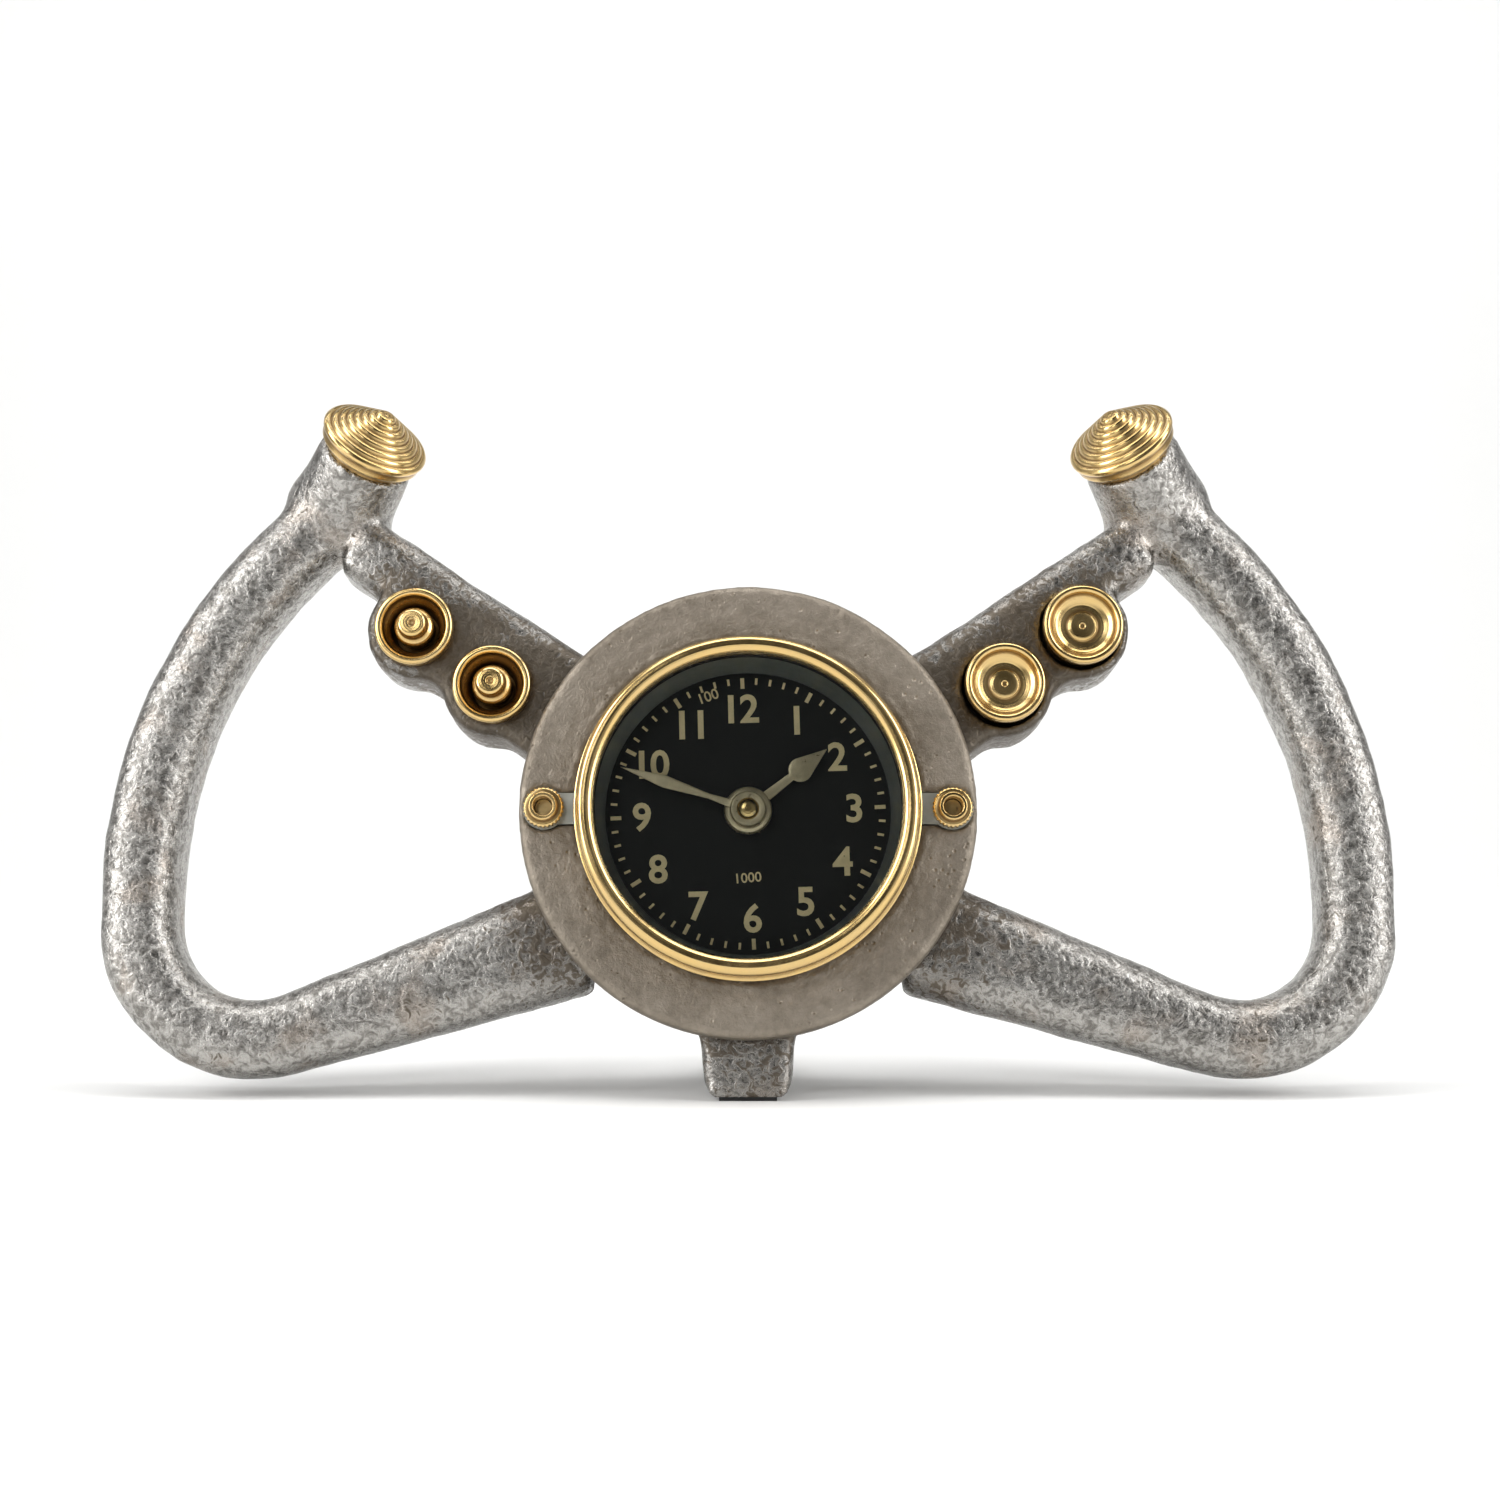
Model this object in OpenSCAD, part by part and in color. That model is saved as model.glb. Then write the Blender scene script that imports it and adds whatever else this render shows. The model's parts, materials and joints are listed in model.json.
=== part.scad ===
// Desk clock cast in the shape of an aircraft control yoke.
// Millimetres, +Z up. The dial faces -Y, and the origin is the middle of the front foot's underside.
// Most modules draw in the yoke's own frame: X right, Z up the dial, Y deeper behind the hub's face,
// with zero at the dial's centre. leaned() stands that frame on the table.

/* [Stance] */
// Backward lean of the dial from upright, degrees
lean = 10; // [4:1:18]
// Height of the dial's centre above the table
hub_height = 68.5; // [66:0.5:80]

/* [Hub] */
// Diameter of the flat front ring
ring_d = 108.5; // [102:0.5:116]
// Thickness of the front ring
ring_t = 6; // [5:0.5:8]
// Diameter of the barrel behind the ring
barrel_d = 104; // [100:0.5:112]
// Length of the barrel behind the ring
barrel_len = 30; // [28:0.5:40]
// Bore of the barrel, which clears the corners of the movement
barrel_bore = 84; // [82:0.5:88]

/* [Handles] */
// Width of the handle bar, seen from the front
handle_w = 18; // [15:0.5:23]
// Depth of the handle bar, front to back
handle_d = 21; // [17:0.5:25]
// Corner radius of the bar's section
handle_r = 7.5; // [4:0.5:8]
// Distance from the dial's centre line to the outermost point of the bar's middle line
handle_x = 146; // [120:0.5:160]
// Height of that point above the dial's centre
handle_z = -16.3; // [-25:0.5:0]
// Radius of the long curve of the grip
grip_r = 117; // [100:1:130]
// Angle that the long curve turns through
grip_turn = 44; // [38:1:50]
// Straight length of the grip above the long curve
grip_top = 16; // [12:1:24]
// Straight length below the long curve
grip_low = 9; // [4:0.5:20]
// Radius of the lower corner
corner_r = 28; // [20:0.5:34]
// Slope of the lower spoke
spoke_slope = 19; // [12:1:26]
// Width of the lower spoke where it meets the hub
spoke_root_w = 28; // [22:0.5:34]

/* [Button bosses] */
// Distance of the inner button from the dial's centre line
button_x = 61.5; // [60:0.5:66]
// Height of the inner button above the dial's centre
button_z = 31; // [28:0.5:36]
// Distance between the two buttons of a pair
button_pitch = 23.7; // [22:0.1:30]
// Slope of the line through a pair of buttons
button_slope = 36.8; // [30:0.5:42]
// Radius of the lobe cast round each button
lobe_r = 11.8; // [10.8:0.1:13]
// Depth of the lobes, front to back
boss_d = 20; // [19:0.5:22]
// Width of the bar that carries the bosses
brace_w = 15; // [12:0.5:20]
// Distance of that bar's middle line above the outer button
brace_rise = 10; // [8:0.1:12]
// Slope of that bar
brace_slope = 33.6; // [30:0.2:40]

/* [Horns and knobs] */
// Place of the horn's root beside the dial's centre line
horn_x = 101.5; // [95:0.5:106]
// Height of the horn's root above the dial's centre
horn_z = 77.5; // [72:0.5:82]
// Length of the horn from its root to the knob
horn_len = 18; // [14:0.5:24]
// Diameter of the horn at its root
horn_root_d = 26; // [22:0.5:28]
// Diameter of the horn under the knob
horn_tip_d = 22.8; // [20:0.2:24]
// Slope of the horn in the plane of the yoke
horn_slope = 52; // [40:1:65]
// Angle that the horn bends forwards
horn_bend = 40; // [25:1:50]
// Diameter of the knob's rim
knob_d = 26.4; // [22:0.2:30]
// Height of the knob's stepped cone
knob_cone = 7.6; // [5:0.2:10]
// Number of steps on the cone
knob_steps = 8; // [5:1:10]

/* [Clock] */
// Outer diameter of the brass bezel
bezel_d = 82; // [79:0.5:86]
// Opening of the bezel
bezel_open = 72; // [68:0.5:73]
// Height of the bezel above the hub's face
bezel_h = 8.5; // [6:0.25:11]
// Outer diameter of the pan that holds the dial
pan_d = 78; // [77:0.25:78.5]
// Depth of the dial's face behind the hub's face
dial_depth = 6; // [5.5:0.25:7]
// Length of the minute hand from its axis
minute_len = 32; // [24:0.5:32.5]
// Length of the hour hand from its axis
hour_len = 24; // [16:0.5:25]
// Minutes past the hour that the clock shows
shown_minute = 48.5; // [0:0.5:59.5]
// Hour that the clock shows
shown_hour = 1; // [0:1:11]
// Angle that the dial and hands sit turned anticlockwise in the ring, degrees
dial_turn = 2.5; // [0:0.5:5]
// Side of the square movement
move_side = 56; // [54:0.5:56.5]
// Depth of the movement
move_t = 16; // [15.8:0.1:17]

/* [Buttons] */
// Travel of every button
travel = 2.5; // [1:0.25:3]
// Diameter of a button's stem
stem_d = 5; // [4:0.25:5.5]
// Running clearance round a stem or an arbor, on the radius
run_clear = 0.05; // [0.02:0.01:0.1]
// Outer diameter of the left cups' rolled rim
cup_d = 19; // [17:0.25:20]
// Diameter of the right dishes
dish_d = 19.4; // [17:0.2:20]

/* [Clamps and foot] */
// Distance of each knurled clamp nut from the dial's axis
clamp_x = 48.1; // [47.5:0.1:48.6]
// Bore of a clamp nut
clamp_bore = 4.2; // [3:0.1:4.8]
// Width of the foot tab at the table
tab_w = 19.6; // [14:0.2:28]
// Thickness of the foot tab
tab_t = 12; // [8:0.5:16]
// Distance of the rear foot behind the front one
stand_reach = 72; // [62:1:95]
// Width of the rear leg and its foot
leg_w = 18; // [14:0.5:24]
// Thickness of the rubber pads
pad_t = 1; // [0.8:0.2:3]

/* [Hidden] */
$fn = 96;

fit = 0.05;                              // clearance on the radius of pieces that are pressed or screwed home
gap = 0.3;                               // clearance round pieces that only pass by
barrel_end = ring_t + barrel_len;
rim_r = (barrel_bore + barrel_d) / 4;    // middle of the barrel's wall, where its screws go
face_y = ring_t + 0.5;                   // front of the spokes and handles
bar_y = face_y + 0.3 + handle_d / 2;     // middle of the handle bar, front to back
slim = 0.24;                             // straight stretches are this much slimmer than the curves
root = 1;                                // and run this far into them

pan_wall = 1;
flange_t = 1.2;
pan_in_r = pan_d / 2 - pan_wall;
glass_t = 2;
glass_y = -5.2;                          // front of the glass
dial_t = 0.8;
pan_back_y = dial_depth + dial_t;        // front of the pan's floor
case_y = pan_back_y + flange_t + dial_t; // front of the movement, behind the floor and the washer
case_back_y = case_y + move_t;
case_wall = 1.2;
back_t = 1.4;

arbor_r = 1.5;
pipe_r = 2.4;
bush_r = 4;
pipe_bore = arbor_r + run_clear;
hour_y = dial_depth - 3.4;               // front of the hour hand
minute_y = hour_y - 2;                   // front of the minute hand
hand_t = 0.6;
hour_layer = case_y + 2.6;               // the wheels lie in layers behind the case's front
motion_layer = case_y + 6.2;
clutch_layer = case_y + 8.4;
third_layer = case_y + 10.1;
second_layer = case_y + 11.9;
wheel_t = 0.8;
mid_plate_y = case_y + 4.8;
pin_r = 0.4;

fine_m = 0.3;                            // gear modules, millimetres
motion_m = 0.5;
hour_m = 0.48;
motion_at = [-12 * cos(45), 12 * sin(45)];
setting_at = motion_at + [0, 12];
third_at = [10.5 * cos(45), 10.5 * sin(45)];
second_at = third_at + [9, 0];
rotor_at = second_at + [9 * cos(60), 9 * sin(60)];
bay_top = -11.8;                         // the battery lies below this height
cell_d = 14.5;
cell_len = 50.5;
cell_z = bay_top - 15 / 2;

minute_angle = shown_minute * 6 - dial_turn;
hour_angle = (shown_hour + shown_minute / 60) * 30 - dial_turn;

rim_y = face_y - 3.3;                    // front of a cup's rolled rim
cup_floor_y = face_y + 6;
cup_back_y = cup_floor_y + 2.6;
cup_body_r = 7.8;
chamber_r = 6;
chamber_end = cup_back_y + travel + 4;
dish_y = face_y - 5;                     // front of a dish's rim
dish_back_y = face_y + 1.5;
pocket_y = dish_back_y + travel + 1;     // floor of the pocket that the dish sinks into
bush_back_y = pocket_y + 4;
clip_t = 0.8;
clip_r = 4.4;
clip_gap = 0.05;

button_in = [button_x, button_z];
button_out = button_in + button_pitch * [cos(button_slope), sin(button_slope)];
horn_dir = [-cos(horn_slope) * cos(horn_bend), -sin(horn_bend), sin(horn_slope) * cos(horn_bend)];

// The front pad sits in the middle of the tab, and its own middle is the origin
hub_y = hub_height * tan(lean) - (face_y + tab_t / 2) / cos(lean);
pad_len = tab_t - 3;
function table_point(y, z) = [hub_y + y * cos(lean) + z * sin(lean),
    hub_height - y * sin(lean) + z * cos(lean)];
cover_t = 2.5;
head_y = barrel_end + cover_t;
head_t = 6;
head_z = -rim_r * cos(16);
head_x = rim_r * sin(16);
head_h = 11;
foot_t = 7;
foot_len = 24;
screw_r = 2;
head_r = 3.6;

// ---------- helpers ----------
// Stand the yoke's frame on the table, leaning back
module leaned() translate([0, hub_y, hub_height]) rotate([-lean, 0, 0]) children();
// A plate t thick from depth y back, drawn as seen from the front
module slab(y, t) translate([0, y + t, 0]) rotate([90, 0, 0]) linear_extrude(t) children();
// A turned piece: profile points are [radius, depth]
module turned(points, at = [0, 0])
    translate([at[0], 0, at[1]]) rotate([-90, 0, 0]) rotate_extrude() polygon(points);
// A rod of radius r from depth y0 to y1
module rod(r, y0, y1, at = [0, 0])
    translate([at[0], y0, at[1]]) rotate([-90, 0, 0]) cylinder(r = r, h = y1 - y0);
module tube(r_out, r_in, y0, y1, at = [0, 0]) difference() {
    rod(r_out, y0, y1, at);
    rod(r_in, y0 - 1, y1 + 1, at);
}
module both_sides() {
    children();
    mirror([1, 0, 0]) children();
}
// Rounded rectangle w wide and d deep, centred
module bar_section(w, d, r) {
    square([w - 2 * r, d], center = true);
    square([w, d - 2 * r], center = true);
    for (x = [-1, 1], y = [-1, 1]) translate([x * (w / 2 - r), y * (d / 2 - r)]) circle(r);
}
function clockwise(angle, r) = [r * sin(angle), r * cos(angle)];
function inv(a) = tan(a) * 180 / PI - a;
// Half the angle of a tooth at radius r, on a gear of n teeth and module m
function tooth_half(n, m, r, slack) = let (rb = m * n / 2 * cos(20))
    90 / n * (1 - slack) + inv(20) - (r > rb ? inv(acos(rb / r)) : 0);
module gear_outline(n, m, phase, slack = 0.12) {
    radii = [m * (n / 2 - 1.25), m * (n / 2 - 0.45), m * n / 2, m * (n / 2 + 0.8)];
    polygon([for (k = [0:n - 1], side = [-1, 1], i = [0:3])
        let (j = side < 0 ? i : 3 - i, a = phase + k * 360 / n + side * tooth_half(n, m, radii[j], slack))
        radii[j] * [cos(a), sin(a)]]);
}
module gear(n, m, phase, y, t, at, bore = 0) difference() {
    translate([at[0], 0, at[1]]) slab(y, t) gear_outline(n, m, phase);
    if (bore > 0) rod(bore, y - 1, y + t + 1, at);
}
// A coil spring of n turns between two depths
module coil_spring(r, wire, n, y0, y1, at) {
    sides = 6;
    per_turn = 12;
    rings = n * per_turn;
    function ring(k) = [for (s = [0:sides - 1]) let (a = k * 360 / per_turn, b = s * 360 / sides,
        q = r + wire * cos(b))
        [q * cos(a), y0 + wire + (y1 - y0 - 2 * wire) * k / rings + wire * sin(b), q * sin(a)]];
    points = [for (k = [0:rings]) each ring(k)];
    walls = [for (k = [0:rings - 1], s = [0:sides - 1]) let (t = (s + 1) % sides)
        [k * sides + s, k * sides + t, (k + 1) * sides + t, (k + 1) * sides + s]];
    caps = [[for (s = [sides - 1:-1:0]) s], [for (s = [0:sides - 1]) rings * sides + s]];
    translate([at[0], 0, at[1]]) polyhedron(points, concat(walls, caps));
}

// ---------- casting ----------
// The bar of the right-hand handle: lower spoke, corner, grip and straight top
module bar_piece(len, below = root, above = root) translate([0, -below, 0]) rotate([-90, 0, 0])
    linear_extrude(len + below + above) bar_section(handle_w - slim, handle_d - slim, handle_r);
module bar_arc(r, turn) rotate_extrude(angle = turn) translate([r, 0])
    bar_section(handle_w, handle_d, handle_r);
// These two draw in a plane frame whose z is turned to the yoke's -Y below
module handle_path() {
    low_z = handle_z - grip_low;
    // the grip's long curve
    translate([handle_x - grip_r, handle_z, 0]) bar_arc(grip_r, grip_turn);
    // straight above it
    translate([handle_x - grip_r * (1 - cos(grip_turn)), handle_z + grip_r * sin(grip_turn), 0])
        rotate([0, 0, grip_turn]) bar_piece(grip_top, above = 0);
    // straight below it
    translate([handle_x, low_z, 0]) bar_piece(grip_low);
    // lower corner
    translate([handle_x - corner_r, low_z, 0]) rotate([0, 0, -90 - spoke_slope])
        bar_arc(corner_r, 90 + spoke_slope);
}
module lower_spoke() {
    corner = [handle_x - corner_r, handle_z - grip_low]
        - corner_r * [sin(spoke_slope), cos(spoke_slope)];
    run = (corner[0] - barrel_d * 0.4) / cos(spoke_slope);
    translate([corner[0], corner[1], 0]) rotate([0, 0, 90 - spoke_slope]) hull() {
        translate([0, -root, 0]) bar_slice(handle_w - slim);
        translate([0, run, 0]) bar_slice(spoke_root_w);
    }
}
module bar_slice(w) rotate([-90, 0, 0]) linear_extrude(0.1)
    bar_section(w, handle_d - slim, handle_r, $fn = 32);
module upper_spoke() {
    outward = (horn_x - button_out[0]) / cos(brace_slope);
    inward = button_pitch + 20;
    slab(face_y, boss_d) {
        translate(button_in) circle(lobe_r);
        translate(button_out) circle(lobe_r);
        translate(button_in) rotate(button_slope) {
            translate([-20, -lobe_r + 4]) square([button_pitch + 20, lobe_r + 4]);
        }
    }
    translate([button_out[0], bar_y, button_out[1]]) rotate([0, -brace_slope, 0])
        translate([-inward, 0, brace_rise]) rotate([0, 90, 0]) rotate([0, 0, 90])
            linear_extrude(inward + outward) bar_section(handle_d - 0.2, brace_w, 5);
}
module along(dir) rotate([0, acos(dir[2] / norm(dir)), atan2(dir[1], dir[0])]) children();
module horn() translate([horn_x, bar_y, horn_z]) {
    sphere(d = horn_root_d);
    along(horn_dir) cylinder(d1 = horn_root_d - 1.2, d2 = horn_tip_d, h = horn_len);
}
module foot_tab() {
    corner = 2.4;
    top_z = hub_height - rim_r;
    intersection() {
        leaned() slab(face_y, tab_t) square([2 * tab_w, 4 * rim_r], center = true);
        translate([0, hub_height, 0]) rotate([90, 0, 0]) linear_extrude(2 * hub_height) hull() {
            for (s = [-1, 1]) translate([s * (tab_w / 2 - corner), pad_t + corner]) circle(corner);
            translate([-tab_w / 2 - 2, top_z]) square([tab_w + 4, 2]);
        }
    }
}
module screw_holes(r, y0, y1) for (a = [45:90:315]) rod(r, y0, y1, clockwise(a, rim_r));
module yoke_casting() color("silver") {
    leaned() difference() {
        union() {
            rod(barrel_d / 2, ring_t, barrel_end);
            both_sides() {
                translate([0, bar_y, 0]) rotate([90, 0, 0]) {
                    handle_path();
                    lower_spoke();
                }
                upper_spoke();
                horn();
            }
        }
        rod(barrel_bore / 2, ring_t - 1, barrel_end + 1);
        rod(ring_d / 2 + gap, -horn_len, ring_t);
        screw_holes(screw_r + fit, ring_t - 1, barrel_end + 1);
        both_sides() {
            rod(clamp_bore / 2 - 0.1, ring_t - 1, ring_t + 10, [clamp_x, 0]);
            rod(screw_r + fit, barrel_end - 14, barrel_end + 1, [head_x, head_z]);
        }
        for (at = [button_out, button_in]) {
            rod(cup_body_r + fit, 0, cup_back_y, [-at[0], at[1]]);
            rod(chamber_r, 0, chamber_end, [-at[0], at[1]]);
            rod(dish_d / 2 + gap, 0, pocket_y, at);
            rod(chamber_r + fit, 0, bush_back_y, at);
            rod(clip_r + gap, 0, bush_back_y + travel + 3, at);
        }
        both_sides() translate([horn_x, bar_y, horn_z]) along(horn_dir)
            translate([0, 0, horn_len - 10]) cylinder(r = 2.5 + fit, h = 12);
    }
    difference() {
        foot_tab();
        leaned() rod(barrel_d / 2 - 2, 0, barrel_end);
    }
}
module hub_ring() color("darkgray") leaned() difference() {
    turned([[pan_d / 2 + gap, 0], [ring_d / 2 - 1.6, 0], [ring_d / 2 - 0.5, 0.5], [ring_d / 2, 1.6],
        [ring_d / 2, ring_t], [pan_d / 2 + gap, ring_t]]);
    screw_holes(screw_r + fit, ring_t - 4, ring_t + 1);
    both_sides() {
        rod(5.3, -1, flange_t, [clamp_x, 0]);
        slab(-1, flange_t + 1) translate([pan_d / 2 - 1, -4]) square([clamp_x - pan_d / 2 + 1, 8]);
        rod(clamp_bore / 2 - 0.1, 0, ring_t + 1, [clamp_x, 0]);
    }
}

// ---------- clock insert ----------
module bezel() color("gold") leaned() turned([
    [bezel_open / 2, glass_y], [bezel_open / 2, -bezel_h + 1], [bezel_open / 2 + 0.6, -bezel_h + 0.3],
    [bezel_open / 2 + 1.6, -bezel_h], [bezel_d / 2 - 1.9, -bezel_h + 1.4],
    [bezel_d / 2 - 0.9, -bezel_h + 3], [bezel_d / 2 - 0.8, -2.6], [bezel_d / 2, -2.2],
    [bezel_d / 2, -0.4], [bezel_d / 2 - 0.4, 0], [pan_d / 2 + 1, 0], [pan_d / 2 + 1, -2.4],
    [pan_d / 2 - 1, -2.4], [pan_d / 2 - 1, glass_y]]);
module crystal() color("lightcyan", 0.4) leaned()
    rod(pan_in_r - fit, glass_y, glass_y + glass_t);
module crystal_gasket() color("black") leaned()
    tube(pan_in_r - fit, bezel_open / 2, glass_y + glass_t, glass_y + glass_t + 0.8);
module reflector_ring() color("gray") leaned() turned([
    [bezel_open / 2, glass_y + glass_t + 0.8], [pan_in_r - fit, glass_y + glass_t + 0.8],
    [pan_in_r - fit, dial_depth], [bezel_open / 2 - 2, dial_depth]]);
module dial_plate() color("black") leaned() tube(pan_in_r - fit, bush_r + fit, dial_depth, dial_depth + dial_t);
module dial_print() color("khaki") leaned() slab(dial_depth - 0.08, 0.08) for (k = [0:59])
    rotate(dial_turn - 6 * k) translate([0, 32.8]) {
        long = k % 5 == 0;
        size = long ? [0.95, 2.6] : [0.6, 1.6];
        translate([-size[0] / 2, -size[1]]) square(size);
    }
module dial_pan() color("lightsteelblue") leaned() difference() {
    union() {
        turned([[bush_r + fit, pan_back_y], [pan_in_r, pan_back_y], [pan_in_r, -2.4], [pan_d / 2 + 1 - fit, -2.4],
            [pan_d / 2 + 1 - fit, 0], [pan_d / 2, 0], [pan_d / 2, pan_back_y + flange_t],
            [bush_r + fit, pan_back_y + flange_t]]);
        both_sides() {
            slab(0, flange_t) translate([pan_d / 2 - 0.5, -3.7]) square([clamp_x - pan_d / 2 + 0.5, 7.4]);
            rod(5, 0, flange_t, [clamp_x, 0]);
        }
    }
    both_sides() rod(clamp_bore / 2 + 0.2, -1, flange_t + 1, [clamp_x, 0]);
}
module clamp_studs() color("goldenrod") leaned() both_sides()
    rod(clamp_bore / 2 - 0.15, -1, ring_t + 9, [clamp_x, 0]);
module clamp_nut() {
    knurls = 24;
    difference() {
        union() {
            rod(3.4, -4.4, 0, [0, 0]);
            slab(-2.6, 2.6) {
                circle(4.55);
                for (k = [1:knurls]) rotate(k * 360 / knurls) translate([4.55, 0]) circle(0.3, $fn = 12);
            }
        }
        rod(clamp_bore / 2, -6, 1);
    }
}
module clamp_nuts() color("gold") leaned() for (s = [-1, 1]) translate([s * clamp_x, 0, 0]) clamp_nut();

// ---------- hands ----------
// One flat piece of a hand, drawn as if the hand pointed at twelve
module blade(y, angle) slab(y, hand_t) rotate(-angle) children();
module hour_hand() color("goldenrod") leaned() difference() {
    ball = hour_len * 0.66;
    union() {
        blade(hour_y, hour_angle) circle(5.7);
        blade(hour_y, hour_angle) polygon([[-1.3, 3], [-0.85, ball], [0.85, ball], [1.3, 3]]);
        blade(hour_y, hour_angle) translate([0, ball]) circle(2.9);
        blade(hour_y, hour_angle) polygon([[-2.7, ball + 1], [0, hour_len], [2.7, ball + 1]]);
    }
    rod(pipe_r, hour_y - 1, hour_y + 2);
}
module minute_hand() color("goldenrod") leaned() difference() {
    waist = minute_len * 0.31;
    leaf = minute_len * 0.65;
    union() {
        blade(minute_y, minute_angle) circle(4.3);
        blade(minute_y, minute_angle) polygon([[-1.1, 2.5], [-0.6, waist], [-1.5, leaf], [-1.35, leaf + 1.5],
            [0, minute_len], [1.35, leaf + 1.5], [1.5, leaf], [0.6, waist], [1.1, 2.5]]);
    }
    rod(arbor_r, minute_y - 1, minute_y + 2);
}
module hand_cap() color("goldenrod") leaned() difference() {
    rod(2.7, minute_y - 1.6, minute_y);
    rod(arbor_r, minute_y - 1, minute_y + 1);
}

// ---------- movement ----------
module square_outline(inset) square(move_side - 2 * inset, center = true);
module movement_case() color("dimgray") leaned() difference() {
    slab(case_y, move_t - back_t) square_outline(0);
    slab(case_y + case_wall, move_t) difference() {
        square_outline(case_wall);
        translate([-move_side / 2, bay_top]) square([move_side, case_wall]);
    }
    rod(bush_r + fit, case_y - 1, case_y + case_wall + 1);
    for (at = [motion_at, setting_at, third_at, second_at, rotor_at])
        rod(pin_r + run_clear, case_y + 0.4, case_y + case_wall + 1, at);
}
module movement_back() color("dimgray") leaned() difference() {
    slab(case_back_y - back_t, back_t) translate([-move_side / 2, bay_top])
        square([move_side, move_side / 2 - bay_top]);
    rod(1.5 + gap, case_back_y - back_t - 1, case_back_y + 1, setting_at);
    rod(pin_r + run_clear, case_back_y - back_t - 1, case_back_y - 0.5);
    for (at = [third_at, second_at, rotor_at])
        rod(pin_r + run_clear, case_back_y - back_t - 1, case_back_y - 0.5, at);
}
module middle_plate() color("ivory") leaned() difference() {
    slab(mid_plate_y, 1) translate([-move_side / 2 + case_wall + fit, bay_top + case_wall + fit])
        square([move_side - 2 * (case_wall + fit), move_side / 2 - bay_top - 2 * (case_wall + fit)]);
    rod(arbor_r + gap, mid_plate_y - 1, mid_plate_y + 2);
    rod(2.4, mid_plate_y - 1, mid_plate_y + 2, motion_at);
    rod(1.5 + gap, mid_plate_y - 1, mid_plate_y + 2, setting_at);
    for (at = [third_at, second_at, rotor_at])
        rod(pin_r + run_clear, mid_plate_y - 1, mid_plate_y + 2, at);
}
module threaded_bush() color("goldenrod") leaned() difference() {
    union() {
        rod(bush_r, dial_depth - 1.9, case_y + case_wall);
        rod(bush_r + 1.2, case_y + case_wall, case_y + case_wall + 1);
    }
    rod(pipe_r + run_clear, 0, case_y + 5);
}
module bush_nut() color("goldenrod") leaned() difference() {
    slab(dial_depth - 1.6, 1.5) circle(5.6, $fn = 6);
    rod(bush_r + fit, 0, case_y);
}
module dial_washer() color("black") leaned()
    tube(12, bush_r + fit, pan_back_y + flange_t, case_y);
module minute_arbor() color("goldenrod") leaned() {
    rod(arbor_r, minute_y - 0.6, clutch_layer + wheel_t + 0.6);
    rod(pin_r, clutch_layer + wheel_t + 0.6, case_back_y - 0.7);
    gear(12, motion_m, 135, motion_layer, 1.4, [0, 0]);
}
module hour_wheel() color("white") leaned() difference() {
    union() {
        rod(pipe_r, hour_y - 0.2, hour_layer);
        gear(40, hour_m, 135 + 180 / 40, hour_layer, 1.6, [0, 0]);
    }
    rod(pipe_bore, hour_y - 1, hour_layer + 3);
}
module motion_wheel() color("white") leaned() {
    gear(36, motion_m, 315 + 180 / 36, motion_layer, 1.4, motion_at);
    gear(10, hour_m, 315, hour_layer, 1.8, motion_at);
    rod(1.2, hour_layer + 1.8, motion_layer, motion_at);
    rod(pin_r, case_y + 0.6, hour_layer, motion_at);
}
module setting_arbor() color("white") leaned() {
    gear(12, motion_m, 270 + 180 / 12, motion_layer, 1.4, setting_at);
    rod(1.5, motion_layer + 1.4, case_back_y + 1, setting_at);
    rod(pin_r, case_y + 0.6, motion_layer, setting_at);
}
module setting_knob() color("dimgray") leaned() difference() {
    slab(case_back_y + 0.4, 4) translate(setting_at) {
        circle(6.6);
        for (k = [1:18]) rotate(k * 20) translate([6.6, 0]) circle(0.5, $fn = 12);
    }
    rod(1.5, case_back_y - 1, case_back_y + 1, setting_at);
}
module centre_wheel() color("white") leaned()
    gear(60, fine_m, 45, clutch_layer, wheel_t, [0, 0], arbor_r + run_clear);
module third_wheel() color("white") leaned() {
    gear(50, fine_m, 0, third_layer, wheel_t, third_at);
    gear(10, fine_m, 225 + 18, clutch_layer - 0.2, third_layer - clutch_layer + 0.2, third_at);
    rod(pin_r, case_y + 0.6, clutch_layer - 0.2, third_at);
    rod(pin_r, third_layer + wheel_t, case_back_y - 0.7, third_at);
}
module second_wheel() color("white") leaned() {
    gear(50, fine_m, 60, second_layer, wheel_t, second_at);
    gear(10, fine_m, 180 + 18, third_layer - 0.2, second_layer - third_layer + 0.2, second_at);
    rod(pin_r, case_y + 0.6, third_layer - 0.2, second_at);
    rod(pin_r, second_layer + wheel_t, case_back_y - 0.7, second_at);
}
module rotor() color("slategray") leaned() {
    rod(2.8, clutch_layer - 0.6, clutch_layer + 2, rotor_at);
    gear(10, fine_m, 240 + 18, second_layer - 0.4, wheel_t + 0.8, rotor_at);
    rod(0.9, clutch_layer + 2, second_layer - 0.4, rotor_at);
    rod(pin_r, case_y + 0.6, clutch_layer - 0.6, rotor_at);
    rod(pin_r, second_layer + wheel_t + 0.4, case_back_y - 0.7, rotor_at);
}
stator_z = 22.6;
module stator() color("silver") leaned() difference() {
    slab(clutch_layer, 1) {
        translate(rotor_at) circle(5);
        translate([rotor_at[0] + 2.2, rotor_at[1]]) square([2.8, stator_z - rotor_at[1] + 1.5]);
        translate([2, rotor_at[1] + 1.5]) square([rotor_at[0] - 4, 2]);
        translate([2, rotor_at[1] + 1.5]) square([2.6, stator_z - rotor_at[1]]);
    }
    rod(2.8 + gap, 0, case_back_y, rotor_at);
}
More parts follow.
